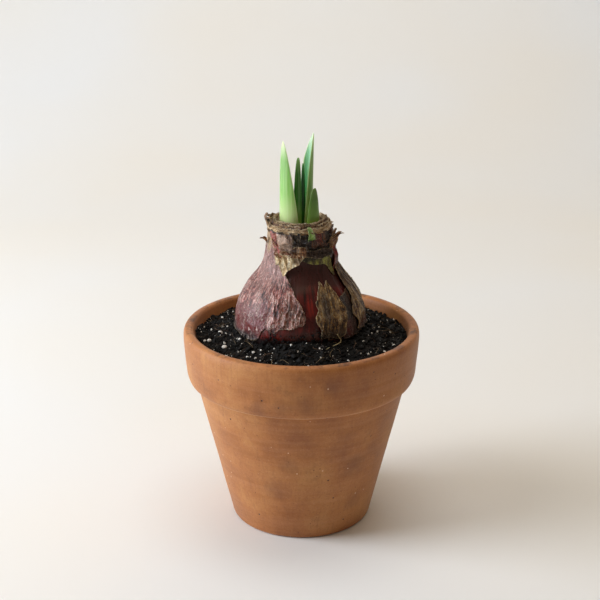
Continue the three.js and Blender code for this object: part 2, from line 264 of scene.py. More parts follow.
def terracotta(settings):
    """Terracotta: unglazed earthenware, pressed and turned in a mould and fired. It is matt, with a dusty
    sheen, cloudy patches of paler and darker clay, open pinholes, grit, faint rings and handling marks."""
    material, tree, shader = blank("fired_terracotta")
    place = add(tree, "ShaderNodeTexCoord").outputs["Object"]
    clouds = add(tree, "ShaderNodeTexNoise", {"Vector": place, "Scale": 30, "Detail": 7, "Roughness": 0.62})
    grain = add(tree, "ShaderNodeTexNoise", {"Vector": place, "Scale": 900, "Detail": 4, "Roughness": 0.7})
    colour = add(tree, "ShaderNodeValToRGB", {"Fac": clouds.outputs["Fac"]}, stops=[
        (0.3, settings.shade), (0.5, settings.clay), (0.7, settings.pale)]).outputs[0]
    flat = add(tree, "ShaderNodeMapping", {"Vector": place, "Scale": (14, 14, 420)})
    rings = add(tree, "ShaderNodeTexNoise", {"Vector": flat.outputs[0], "Scale": 1, "Detail": 4})
    upright = add(tree, "ShaderNodeMapping", {"Vector": place, "Scale": (620, 620, 40)})
    brushed = add(tree, "ShaderNodeTexNoise", {"Vector": upright.outputs[0], "Scale": 1, "Detail": 3})
    smoke = add(tree, "ShaderNodeTexNoise", {"Vector": place, "Scale": 55, "Detail": 8, "Roughness": 0.72})
    # Dark and pale marks laid over the clay: each is a mask between two values of its pattern.
    for pattern, low, high, code, strength in (
            (rings, 0.4, 0.75, "#C58B5E", 0.28), (brushed, 0.52, 0.75, "#8A5630", 0.3),
            (grain, 0.56, 0.75, "#DBA377", 0.32), (grain, 0.42, 0.28, "#6E3D22", 0.55),
            (smoke, 0.58, 0.75, "#70452A", 0.5)):
        mask = add(tree, "ShaderNodeMapRange", {
            "Value": pattern.outputs["Fac"], "From Min": low, "From Max": high, "To Max": strength})
        colour = add(tree, "ShaderNodeMix", {0: mask.outputs[0], 6: colour, 7: srgb(code)},
                     data_type="RGBA").outputs[2]
    # Smudges from handling, as (azimuth, height, reach) in degrees and millimetres.
    for azimuth, height, reach in (
            (2, 106, 20), (-9, 103, 13), (-20, 100, 12), (34, 52, 20), (-8, 58, 15), (14, 116, 12), (-16, 38, 18),
            (150, 70, 30), (-120, 100, 24), (95, 84, 18), (-150, 40, 20), (40, 24, 16)):
        spot = around(azimuth, pot_outer(height), height, 0)
        away = add(tree, "ShaderNodeVectorMath", {0: place, 1: tuple(spot)}, operation="DISTANCE")
        near = add(tree, "ShaderNodeMapRange", {"Value": away.outputs["Value"], "From Min": reach * MM,
                                                "From Max": 0.0}, interpolation_type="SMOOTHSTEP")
        broken = add(tree, "ShaderNodeMath", {0: near.outputs[0], 1: smoke.outputs["Fac"]}, operation="MULTIPLY")
        mask = add(tree, "ShaderNodeMapRange", {"Value": broken.outputs[0], "From Min": 0.2, "From Max": 0.75,
                                                "To Max": 0.5})
        colour = add(tree, "ShaderNodeMix", {0: mask.outputs[0], 6: colour, 7: srgb("#6B4634")},
                     data_type="RGBA").outputs[2]
    # Soil has rubbed into the rim and the inside of the mouth.
    height = add(tree, "ShaderNodeSeparateXYZ", {0: place}).outputs["Z"]
    mouth = add(tree, "ShaderNodeMapRange", {"Value": height, "From Min": 0.1262, "From Max": 0.1285})
    rubbed = add(tree, "ShaderNodeMath", {0: mouth.outputs[0], 1: smoke.outputs["Fac"]}, operation="MULTIPLY")
    dirt = add(tree, "ShaderNodeMapRange", {"Value": rubbed.outputs[0], "From Min": 0.5, "From Max": 0.62,
                                            "To Max": 0.75})
    colour = add(tree, "ShaderNodeMix", {0: dirt.outputs[0], 6: colour, 7: srgb("#4A2C1C")},
                 data_type="RGBA").outputs[2]
    # A painted highlight: the band's lower edge is painted as a pale line where it catches the light.
    lit_edge_height = (settings.band_foot - 0.1) * MM
    step = add(tree, "ShaderNodeMath", {0: height, 1: lit_edge_height}, operation="SUBTRACT")
    off = add(tree, "ShaderNodeMath", {0: step.outputs[0]}, operation="ABSOLUTE")
    line = add(tree, "ShaderNodeMapRange", {"Value": off.outputs[0], "From Min": 0.0009, "From Max": 0.0001},
               interpolation_type="SMOOTHSTEP")
    broken_highlight = add(tree, "ShaderNodeMath", {0: line.outputs[0], 1: clouds.outputs["Fac"]}, operation="MULTIPLY")
    edge_highlight = add(tree, "ShaderNodeMapRange", {"Value": broken_highlight.outputs[0], "From Min": 0.2, "From Max": 0.6,
                                            "To Max": 0.8})
    colour = add(tree, "ShaderNodeMix", {0: edge_highlight.outputs[0], 6: colour, 7: srgb("#E2B27C")},
                 data_type="RGBA").outputs[2]
    # Pinholes and pale grit are about half a millimetre wide, and only a few cells of each pattern hold one.
    holes = None
    for scale, chance, code in ((300, 0.972, "#3F2012"), (520, 0.975, "#4A2616"), (380, 0.985, "#EBCBA6")):
        cells = add(tree, "ShaderNodeTexVoronoi", {"Vector": place, "Scale": scale})
        lot = add(tree, "ShaderNodeSeparateColor", {"Color": cells.outputs["Color"]})
        few = add(tree, "ShaderNodeMath", {0: lot.outputs[0], 1: chance}, operation="GREATER_THAN")
        close = add(tree, "ShaderNodeMapRange", {"Value": cells.outputs["Distance"], "From Min": 0.22,
                                                 "From Max": 0.1})
        pit = add(tree, "ShaderNodeMath", {0: few.outputs[0], 1: close.outputs[0]}, operation="MULTIPLY")
        holes = holes or pit
        colour = add(tree, "ShaderNodeMix", {0: pit.outputs[0], 6: colour, 7: srgb(code)},
                     data_type="RGBA").outputs[2]
    tree.links.new(colour, shader.inputs["Base Color"])
    dull = add(tree, "ShaderNodeMapRange", {
        "Value": clouds.outputs["Fac"], "From Min": 0.3, "From Max": 0.7, "To Min": 0.46, "To Max": 0.66})
    tree.links.new(dull.outputs[0], shader.inputs["Roughness"])
    shader.inputs["Specular IOR Level"].default_value = 0.42
    shader.inputs["Sheen Weight"].default_value = 0.07
    shader.inputs["Sheen Roughness"].default_value = 0.45
    normal = None
    for pattern, strength, distance in ((grain, 0.35, 0.0003), (rings, 0.25, 0.0004), (brushed, 0.2, 0.0002)):
        bump_inputs = {"Height": pattern.outputs["Fac"], "Strength": strength, "Distance": distance}
        if normal:
            bump_inputs["Normal"] = normal
        normal = add(tree, "ShaderNodeBump", bump_inputs).outputs[0]
    sunk = add(tree, "ShaderNodeBump", {"Height": holes.outputs[0], "Strength": 0.8, "Distance": 0.0006,
                                        "Normal": normal}, invert=True)
    tree.links.new(sunk.outputs[0], shader.inputs["Normal"])
    return material


def peat():
    """Damp peat potting mix: milled and sieved moss peat. It is nearly black when wet, with brown crumbs
    where it has dried, and glints a little."""
    material, tree, shader = blank("damp_peat")
    place = add(tree, "ShaderNodeTexCoord").outputs["Object"]
    crumbs = add(tree, "ShaderNodeTexNoise", {"Vector": place, "Scale": 260, "Detail": 5, "Roughness": 0.7})
    colour = add(tree, "ShaderNodeValToRGB", {"Fac": crumbs.outputs["Fac"]}, stops=[
        (0.35, srgb("#020202")), (0.56, srgb("#080605")), (0.69, srgb("#1C130D")), (0.84, srgb("#4A3826"))])
    tree.links.new(colour.outputs[0], shader.inputs["Base Color"])
    shader.inputs["Roughness"].default_value = 0.7
    shader.inputs["Specular IOR Level"].default_value = 0.2
    relief = add(tree, "ShaderNodeBump", {"Height": crumbs.outputs["Fac"], "Strength": 0.7, "Distance": 0.0008})
    tree.links.new(relief.outputs[0], shader.inputs["Normal"])
    return material


def perlite():
    """Perlite: volcanic glass puffed up by heat. It is chalk white, rough and full of tiny open bubbles."""
    material, tree, shader = blank("expanded_perlite")
    place = add(tree, "ShaderNodeTexCoord").outputs["Object"]
    bubbles = add(tree, "ShaderNodeTexVoronoi", {"Vector": place, "Scale": 2600})
    colour = add(tree, "ShaderNodeValToRGB", {"Fac": bubbles.outputs["Distance"]}, stops=[
        (0.1, srgb("#A8A296")), (0.4, srgb("#F2EFE8"))])
    tree.links.new(colour.outputs[0], shader.inputs["Base Color"])
    shader.inputs["Roughness"].default_value = 0.85
    relief = add(tree, "ShaderNodeBump", {"Height": bubbles.outputs["Distance"], "Distance": 0.0002})
    tree.links.new(relief.outputs[0], shader.inputs["Normal"])
    return material


def fibre(name, pale, dark):
    """Plant fibre: dry peat strands and living root hairs. It is satin, and uneven along its length."""
    material, tree, shader = blank(name)
    place = add(tree, "ShaderNodeTexCoord").outputs["Object"]
    patches = add(tree, "ShaderNodeTexNoise", {"Vector": place, "Scale": 140, "Detail": 3})
    colour = add(tree, "ShaderNodeValToRGB", {"Fac": patches.outputs["Fac"]}, stops=[
        (0.35, srgb(dark)), (0.65, srgb(pale))])
    tree.links.new(colour.outputs[0], shader.inputs["Base Color"])
    shader.inputs["Roughness"].default_value = 0.6
    return material


def papery(name, colours, torn, vein=1.1, roughness=0.5, blotch=7, tints=(), fine=1.0, coat=0.0, crease=3.0,
           creased="#D8C6B8", creasing=0.35):
    """Papery tunic: a bulb's dead outer leaf base. It is thin and crumpled, with fine veins that run from the
    neck to the base, blotches where layers below show through, creases whose crests are rubbed pale, and a
    pale ragged edge where it has torn.

    colours go from the dark of the veins to the light between them. vein, blotch and crease are sizes in
    millimetres. tints are (field, colour, strength) triples laid over them."""
    material, tree, shader = blank(name)
    place = add(tree, "ShaderNodeUVMap", uv_map="UVMap").outputs[0]

    def pattern(width, length, detail, distortion=0.0, roughness=0.6):
        stretched = add(tree, "ShaderNodeMapping", {"Vector": place, "Scale": (UV_MM / width, UV_MM / length, 1)})
        return add(tree, "ShaderNodeTexNoise", {
            "Vector": stretched.outputs[0], "Scale": 1, "Detail": detail, "Roughness": roughness,
            "Distortion": distortion}).outputs["Fac"]

    def ridges(source, width):
        """1 on the middle value of a noise, which runs in branching lines, and 0 away from it."""
        centred = add(tree, "ShaderNodeMath", {0: source, 1: 0.5}, operation="SUBTRACT")
        away = add(tree, "ShaderNodeMath", {0: centred.outputs[0]}, operation="ABSOLUTE")
        return add(tree, "ShaderNodeMapRange", {"Value": away.outputs[0], "From Min": width, "From Max": 0.0},
                   interpolation_type="SMOOTHSTEP").outputs[0]

    veins = pattern(vein, vein * 14, 5, 0.3)
    blotches = pattern(blotch, blotch * 1.6, 6, 0.6, 0.66)
    speckle = pattern(vein * 0.9, vein * 1.5, 4, 0.5, 0.7)
    creases = ridges(pattern(crease, crease * 2.2, 3, 1.1, 0.55), 0.045)
    cracks = ridges(pattern(crease * 1.3, crease * 0.9, 5, 1.4, 0.62), 0.02)
    hairs = pattern(0.35, 6, 2)
    shade = None
    for source, share in ((veins, 0.36), (blotches, 0.4), (speckle, 0.24)):
        terms = {0: source, 1: share, 2: shade.outputs[0] if shade else 0.0}
        shade = add(tree, "ShaderNodeMath", terms, operation="MULTIPLY_ADD")
    positions = np.linspace(0.41, 0.59, len(colours))
    colour = add(tree, "ShaderNodeValToRGB", {"Fac": shade.outputs[0]},
                 stops=[(p, srgb(code)) for p, code in zip(positions, colours)]).outputs[0]
    # Each tint is broken up by the veins and blotches, so that it ends raggedly.
    for field, code, strength in tints:
        amount = add(tree, "ShaderNodeAttribute", attribute_name=field).outputs["Fac"]
        lively = add(tree, "ShaderNodeMath", {0: shade.outputs[0], 1: 2.4, 2: -0.7}, operation="MULTIPLY_ADD")
        broken = add(tree, "ShaderNodeMath", {0: amount, 1: lively.outputs[0]}, operation="ADD")
        mask = add(tree, "ShaderNodeMapRange", {
            "Value": broken.outputs[0], "From Min": 0.72, "From Max": 1.3, "To Max": strength})
        colour = add(tree, "ShaderNodeMix", {0: mask.outputs[0], 6: colour, 7: srgb(code)},
                     data_type="RGBA").outputs[2]
    for lines, code, strength in ((creases, creased, creasing), (cracks, colours[0], 0.9)):
        where = add(tree, "ShaderNodeMapRange", {
            "Value": blotches, "From Min": 0.42, "From Max": 0.6, "To Min": 0.15, "To Max": strength})
        mask = add(tree, "ShaderNodeMath", {0: lines, 1: where.outputs[0]}, operation="MULTIPLY")
        colour = add(tree, "ShaderNodeMix", {0: mask.outputs[0], 6: colour, 7: srgb(code)},
                     data_type="RGBA").outputs[2]
    edge = add(tree, "ShaderNodeAttribute", attribute_name="edge").outputs["Fac"]
    frayed = add(tree, "ShaderNodeMath", {0: speckle, 1: 2.2, 2: edge}, operation="MULTIPLY_ADD")
    rim = add(tree, "ShaderNodeMapRange", {
        "Value": frayed.outputs[0], "From Min": 1.75, "From Max": 2.35, "To Max": 0.85})
    colour = add(tree, "ShaderNodeMix", {0: rim.outputs[0], 6: colour, 7: srgb(torn)}, data_type="RGBA").outputs[2]
    tree.links.new(colour, shader.inputs["Base Color"])
    shine = add(tree, "ShaderNodeMapRange", {
        "Value": shade.outputs[0], "From Min": 0.41, "From Max": 0.59, "To Min": roughness + 0.14,
        "To Max": roughness - 0.14})
    tree.links.new(shine.outputs[0], shader.inputs["Roughness"])
    shader.inputs["Coat Weight"].default_value = coat
    shader.inputs["Coat Roughness"].default_value = 0.35
    normal = None
    for height, strength, distance in (
            (blotches, 0.5, 0.0012), (veins, 0.6, 0.0008), (creases, 0.7, 0.0006), (cracks, -0.7, 0.0005),
            (hairs, 0.35, 0.0003)):
        relief = {"Height": height, "Strength": min(1, abs(strength) * fine), "Distance": distance}
        if normal:
            relief["Normal"] = normal
        normal = add(tree, "ShaderNodeBump", relief, invert=strength < 0).outputs[0]
    tree.links.new(normal, shader.inputs["Normal"])
    return material


def bulb_flesh():
    """Living outer scale of the bulb: moist and waxy, wine red with darker veins, dark purple under the neck,
    partly its own colour and partly painted shade, and dusted with soil at its base."""
    material, tree, shader = blank("living_bulb_scale")
    place = add(tree, "ShaderNodeUVMap", uv_map="UVMap").outputs[0]
    stretched = add(tree, "ShaderNodeMapping", {"Vector": place, "Scale": (UV_MM / 2.4, UV_MM / 22, 1)})
    veins = add(tree, "ShaderNodeTexNoise", {"Vector": stretched.outputs[0], "Scale": 1, "Detail": 4})
    wide = add(tree, "ShaderNodeMapping", {"Vector": place, "Scale": (UV_MM / 9, UV_MM / 13, 1)})
    patches = add(tree, "ShaderNodeTexNoise", {"Vector": wide.outputs[0], "Scale": 1, "Detail": 5})
    shade = add(tree, "ShaderNodeMath", {0: veins.outputs["Fac"], 1: patches.outputs["Fac"]}, operation="ADD")
    colour = add(tree, "ShaderNodeValToRGB", {"Fac": add(
        tree, "ShaderNodeMath", {0: shade.outputs[0], 1: 0.5}, operation="MULTIPLY").outputs[0]}, stops=[
            (0.38, srgb("#240707")), (0.5, srgb("#54100E")), (0.62, srgb("#8C241A"))]).outputs[0]
    # The first tint darkens the top under the neck, partly its own colour and partly painted shade, and the front foot
    # with soil; the second is soil dust.
    for field, code, low, high in (("bruise", "#381713", 0.7, 1.5), ("smudge", "#0D0807", 0.8, 1.35)):
        amount = add(tree, "ShaderNodeAttribute", attribute_name=field).outputs["Fac"]
        broken = add(tree, "ShaderNodeMath", {0: amount, 1: patches.outputs["Fac"]}, operation="ADD")
        mask = add(tree, "ShaderNodeMapRange", {
            "Value": broken.outputs[0], "From Min": low, "From Max": high, "To Max": 0.95})
        colour = add(tree, "ShaderNodeMix", {0: mask.outputs[0], 6: colour, 7: srgb(code)},
                     data_type="RGBA").outputs[2]
    tree.links.new(colour, shader.inputs["Base Color"])
    gloss = add(tree, "ShaderNodeMapRange", {"Value": patches.outputs["Fac"], "To Min": 0.14, "To Max": 0.42})
    tree.links.new(gloss.outputs[0], shader.inputs["Roughness"])
    relief = add(tree, "ShaderNodeBump", {"Height": veins.outputs["Fac"], "Strength": 0.4, "Distance": 0.0005})
    tree.links.new(relief.outputs[0], shader.inputs["Normal"])
    return material


def leaf_skin(name, outer, inner, roughness=0.34):
    """Young amaryllis leaf: a thick strap, satin, pale where light never reached it, with fine veins from end
    to end and a thin translucent margin. outer and inner give each face's colours at foot, blade, upper
    blade and tip."""
    material, tree, shader = blank(name)
    up = add(tree, "ShaderNodeAttribute", attribute_name="up").outputs["Fac"]
    across = add(tree, "ShaderNodeAttribute", attribute_name="across").outputs["Fac"]
    within = add(tree, "ShaderNodeAttribute", attribute_name="within").outputs["Fac"]
    place = add(tree, "ShaderNodeUVMap", uv_map="UVMap").outputs[0]
    stretched = add(tree, "ShaderNodeMapping", {"Vector": place, "Scale": (UV_MM / 0.7, UV_MM / 40, 1)})
    veins = add(tree, "ShaderNodeTexNoise", {"Vector": stretched.outputs[0], "Scale": 1, "Detail": 4})
    faces = [add(tree, "ShaderNodeValToRGB", {"Fac": up}, stops=[
        (position, srgb(code)) for position, code in zip((0.2, 0.52, 0.82, 0.985), codes)])
        for codes in (outer, inner)]
    colour = add(tree, "ShaderNodeMix", {0: within, 6: faces[0].outputs[0], 7: faces[1].outputs[0]},
                 data_type="RGBA").outputs[2]
    lines = add(tree, "ShaderNodeMapRange", {
        "Value": veins.outputs["Fac"], "From Min": 0.4, "From Max": 0.66, "To Max": 0.3})
    rim = add(tree, "ShaderNodeMapRange", {"Value": across, "From Min": 0.9, "From Max": 1.0, "To Max": 0.9})
    for mask in (lines, rim):
        colour = add(tree, "ShaderNodeMix", {0: mask.outputs[0], 6: colour, 7: srgb(outer[3])},
                     data_type="RGBA").outputs[2]
    tree.links.new(colour, shader.inputs["Base Color"])
    shader.inputs["Roughness"].default_value = roughness
    shader.inputs["Subsurface Weight"].default_value = 0.3
    shader.inputs["Subsurface Radius"].default_value = (0.6, 1.0, 0.3)
    shader.inputs["Subsurface Scale"].default_value = 0.0016
    relief = add(tree, "ShaderNodeBump", {"Height": veins.outputs["Fac"], "Strength": 0.35, "Distance": 0.0003})
    tree.links.new(relief.outputs[0], shader.inputs["Normal"])
    return material


# ---------- papery skins ----------
def sheet_on_bulb(name, material, *, sides, ends, layer, seed, cell=0.55, tear=0.8, crumple=0.25, ridge=3.0,
                  curl=0.8, free=(1, 1, 1, 1), thickness=0.3, tints=None, lift=None):
    """A torn sheet that lies on the bulb.

    sides give the azimuth of its left and right edge at a height, ends the height of its lower and upper
    edge at an azimuth. free says how torn and curled each edge is: left, right, lower, upper."""
    left, right = sides
    low, high = ends
    spread = np.radians(through(right, 150) - through(left, 150)) * 38
    columns = int(np.clip(abs(spread) / cell, 12, 260))
    middle = np.linspace(through(left, 150), through(right, 150), 40)
    rows = int(np.clip((through(high, middle) - through(low, middle)).max() / cell, 8, 150))
    u, v = np.meshgrid(np.linspace(0, 1, columns + 1), np.linspace(0, 1, rows + 1))

    def ragged(length, salt):
        return tear * (rough(length / 5, salt, 0, 4, seed + 40) + 0.35 * noise(length / 0.7, salt, 0, seed + 50))

    azimuth = through(left, 150) + (through(right, 150) - through(left, 150)) * u
    for _ in range(9):
        lower = through(low, azimuth) + free[2] * ragged(azimuth * 0.65, 1)
        upper = through(high, azimuth) + free[3] * ragged(azimuth * 0.65, 2)
        z = lower + (upper - lower) * v
        first = through(left, z) + 1.6 * free[0] * ragged(z, 3)
        last = through(right, z) + 1.6 * free[1] * ragged(z, 4)
        azimuth = first + (last - first) * u
    radius = through(BULB_RADII, z)
    arc = np.radians(azimuth) * radius
    distances = [np.radians(azimuth - first) * radius, np.radians(last - azimuth) * radius, z - lower, upper - z]
    far = 30.0
    from_edge = np.min([d / f if f else d * 0 + far for d, f in zip(distances, free)], axis=0)
    folds = rough(arc / ridge, z / (ridge * 4), 0, 4, seed)
    sharp = (1 - np.abs(noise(arc / ridge, z / (ridge * 5), 3, seed + 9))) ** 3
    height = crumple * (0.6 * folds + 0.8 * sharp)
    patchy = 0.35 + 0.65 * ramp(-0.3, 0.5, rough(arc / 6, z / 6, 0, 2, seed + 20))
    height = height + curl * patchy * np.exp(-from_edge / 1.4)
    if lift is not None:
        height = height + lift(azimuth, z)
    proud = 0.5 + 0.9 * layer + height
    points = around(azimuth, (radius + proud) * lobes(azimuth), z)
    fields = {"edge": np.exp(-from_edge / 0.6)}
    for field, paint in (tints or {}).items():
        fields[field] = paint(azimuth, z)
    uv = (np.radians(azimuth) * 40, z)
    return thicken(grid_object(name, points, material, fields=fields, uv=uv), thickness)


def soil_dust(azimuth, z):
    return ramp(136, 129, z + 2 * noise(azimuth / 9, z / 5, 0, 71))


def ragged_collar(name, material, *, radius, foot, top, lean, seed, span=(-180, 180), wave=0.5, tear=0.9,
                  spikes=(), thickness=0.35):
    """A sheath end that stands round the leaves, torn along its top. spikes are (azimuth, reach, rise)."""
    turns = abs(span[1] - span[0]) / 360
    columns = int(300 * turns)
    whole = turns > 0.99
    u = np.linspace(0, 1, columns, endpoint=not whole)
    u, v = np.meshgrid(u, np.linspace(0, 1, 16))
    azimuth = span[0] + (span[1] - span[0]) * u
    a = np.radians(azimuth)
    cx, cy = np.cos(a), np.sin(a)
    edge = tear * rough(cx * 4, cy * 4, seed, 4, seed) + 0.35 * tear * noise(cx * 24, cy * 24, seed, seed + 3)
    for centre, reach, rise in spikes:
        edge = edge + rise * bump(centre, reach, azimuth)
    z = foot + (top + edge - foot) * v
    ripple = wave * rough(cx * 3, cy * 3, z / 9 + seed, 3, seed + 8) * (0.3 + v)
    pleats = 0.25 * noise(cx * 16, cy * 16, z / 14, seed + 5) * (0.4 + v)
    flare = lean * v ** 2.2 * (1 + 0.6 * noise(cx * 2.5, cy * 2.5, seed, seed + 11))
    points = around(azimuth, radius + ripple + pleats + flare, z)
    fields = {"edge": np.exp(-(1 - v) * (top - foot) / 1.2), "inner": v * 0}
    uv = (a * 20, z)
    piece = grid_object(name, points, material, wraps=whole, fields=fields, uv=uv)
    return thicken(piece, thickness)


def loose_flake(name, material, *, spine, width, twist, seed, thickness=0.3, cup=0.5):
    """A dry flake that stands off the neck. spine is (azimuth, distance, height) along its middle."""
    steps = np.linspace(0, len(spine) - 1, 22)
    middle = np.stack([through(list(enumerate(column)), steps) for column in zip(*spine)], -1)
    u, v = np.meshgrid(np.linspace(-1, 1, 13), np.linspace(0, 1, 22))
    azimuth, distance, z = (middle[:, k][:, None] for k in range(3))
    half = width / 2 * (1 - 0.75 * v ** 1.6) * (1 + 0.3 * rough(v * 4, u * 0, 0, 3, seed))
    turn = np.radians(twist) * v
    side = u * half + 0.25 * noise(u * 2, v * 8, 0, seed)
    swing = np.degrees(side * np.cos(turn) / distance)
    out = side * np.sin(turn) + cup * (u ** 2 - 0.4) + 0.3 * rough(u, v * 4, 0, 3, seed + 4)
    points = around(azimuth + swing, distance + out, z + 0 * u)
    fields = {"edge": np.maximum(np.abs(u) ** 4, v ** 5)}
    return thicken(grid_object(name, points, material, fields=fields, uv=(side, z + 0 * u)), thickness)


def rod_points(path, radius, sides=8):
    """Rings of points round a path, with a frame that turns as little as it can."""
    path = np.asarray(path, float)
    ahead = np.gradient(path, axis=0)
    ahead /= np.linalg.norm(ahead, axis=1, keepdims=True)
    across = np.cross(ahead, (0.3, 0.1, 1.0))
    across /= np.linalg.norm(across, axis=1, keepdims=True)
    upward = np.cross(across, ahead)
    turn = np.linspace(0, 2 * math.pi, sides, endpoint=False)
    radius = np.broadcast_to(radius, len(path))[:, None, None]
    ring = across[:, None] * np.cos(turn)[None, :, None] + upward[:, None] * np.sin(turn)[None, :, None]
    return path[:, None] + ring * radius


# ---------- Geometry Nodes ----------
def run_tree(tree, host, values):
    """Runs a Geometry Nodes tree on a host object, and turns the host into the plain mesh that it gives."""
    modifier = host.modifiers.new(tree.name, "NODES")
    modifier.node_group = tree
    for item in tree.interface.items_tree:
        if item.in_out == "INPUT" and item.name in values:
            modifier[item.identifier] = values[item.name]
    evaluated = host.evaluated_get(bpy.context.evaluated_depsgraph_get())
    mesh = bpy.data.meshes.new_from_object(evaluated)
    host.modifiers.remove(modifier)
    mesh.name = host.name
    host.data = mesh
    return host


def new_tree(name, inputs):
    """An empty tree with named inputs, given as (name, socket type, default)."""
    tree = bpy.data.node_groups.new(name, "GeometryNodeTree")
    tree.interface.new_socket("Geometry", in_out="INPUT", socket_type="NodeSocketGeometry")
    tree.interface.new_socket("Geometry", in_out="OUTPUT", socket_type="NodeSocketGeometry")
    for label, kind, default in inputs:
        socket = tree.interface.new_socket(label, in_out="INPUT", socket_type=kind)
        if default is not None:
            socket.default_value = default
    return tree, add(tree, "NodeGroupInput").outputs


def finish_tree(tree, geometry, material):
    real = add(tree, "GeometryNodeRealizeInstances", {"Geometry": geometry})
    painted = add(tree, "GeometryNodeSetMaterial", {"Geometry": real.outputs[0], "Material": material})
    add(tree, "NodeGroupOutput", {"Geometry": painted.outputs[0]})
    return tree


def turned_ware_tree():
    """Turns a profile, a row of points at radius x and height z, about +Z, with a potter's slight unevenness."""
    tree, given = new_tree("Turned ware", [
        ("Segments", "NodeSocketInt", 200), ("Points", "NodeSocketInt", 100),
        ("Unevenness", "NodeSocketFloat", 0.0), ("Seed", "NodeSocketFloat", 0.0),
        ("Material", "NodeSocketMaterial", None)])
    columns = add(tree, "ShaderNodeMath", {0: given["Segments"], 1: 1.0}, operation="ADD")
    rows = add(tree, "ShaderNodeMath", {0: given["Points"], 1: 1.0}, operation="ADD")
    grid = add(tree, "GeometryNodeMeshGrid", {
        "Size X": 1.0, "Size Y": 1.0, "Vertices X": columns.outputs[0], "Vertices Y": rows.outputs[0]})
    place = add(tree, "ShaderNodeSeparateXYZ", {0: add(tree, "GeometryNodeInputPosition").outputs[0]})
    turn = add(tree, "ShaderNodeMath", {0: place.outputs["X"], 1: 2 * math.pi}, operation="MULTIPLY")
    along = add(tree, "ShaderNodeMath", {0: place.outputs["Y"], 1: 0.5}, operation="ADD")
    row = add(tree, "ShaderNodeMath", {0: along.outputs[0], 1: given["Points"]}, operation="MULTIPLY")
    near = add(tree, "ShaderNodeMath", {0: row.outputs[0]}, operation="ROUND")
    wrapped = add(tree, "ShaderNodeMath", {0: near.outputs[0], 1: given["Points"]}, operation="MODULO")
    profile = add(tree, "GeometryNodeSampleIndex", {
        "Geometry": given["Geometry"], "Value": add(tree, "GeometryNodeInputPosition").outputs[0],
        "Index": wrapped.outputs[0]}, data_type="FLOAT_VECTOR")
    point = add(tree, "ShaderNodeSeparateXYZ", {0: profile.outputs[0]})
    cosine = add(tree, "ShaderNodeMath", {0: turn.outputs[0]}, operation="COSINE")
    sine = add(tree, "ShaderNodeMath", {0: turn.outputs[0]}, operation="SINE")
    # The unevenness is read on a cylinder of its own, so that it meets itself at the seam.
    sample = add(tree, "ShaderNodeCombineXYZ", {
        0: cosine.outputs[0], 1: sine.outputs[0], 2: add(
            tree, "ShaderNodeMath", {0: point.outputs["Z"], 1: 30.0}, operation="MULTIPLY").outputs[0]})
    wobble = add(tree, "ShaderNodeTexNoise", {
        "Vector": sample.outputs[0], "W": given["Seed"], "Scale": 1.6, "Detail": 3.0}, noise_dimensions="4D")
    centred = add(tree, "ShaderNodeMath", {0: wobble.outputs["Fac"], 1: 0.5}, operation="SUBTRACT")
    radius = add(tree, "ShaderNodeMath", {0: centred.outputs[0], 1: given["Unevenness"], 2: point.outputs["X"]},
                 operation="MULTIPLY_ADD")
    x = add(tree, "ShaderNodeMath", {0: cosine.outputs[0], 1: radius.outputs[0]}, operation="MULTIPLY")
    y = add(tree, "ShaderNodeMath", {0: sine.outputs[0], 1: radius.outputs[0]}, operation="MULTIPLY")
    moved = add(tree, "GeometryNodeSetPosition", {"Geometry": grid.outputs["Mesh"], "Position": add(
        tree, "ShaderNodeCombineXYZ", {0: x.outputs[0], 1: y.outputs[0], 2: point.outputs["Z"]}).outputs[0]})
    closed = add(tree, "GeometryNodeMergeByDistance", {"Geometry": moved.outputs[0], "Distance": 0.00002})
    smooth = add(tree, "GeometryNodeSetShadeSmooth", {"Geometry": closed.outputs[0]})
    return finish_tree(tree, smooth.outputs[0], given["Material"])


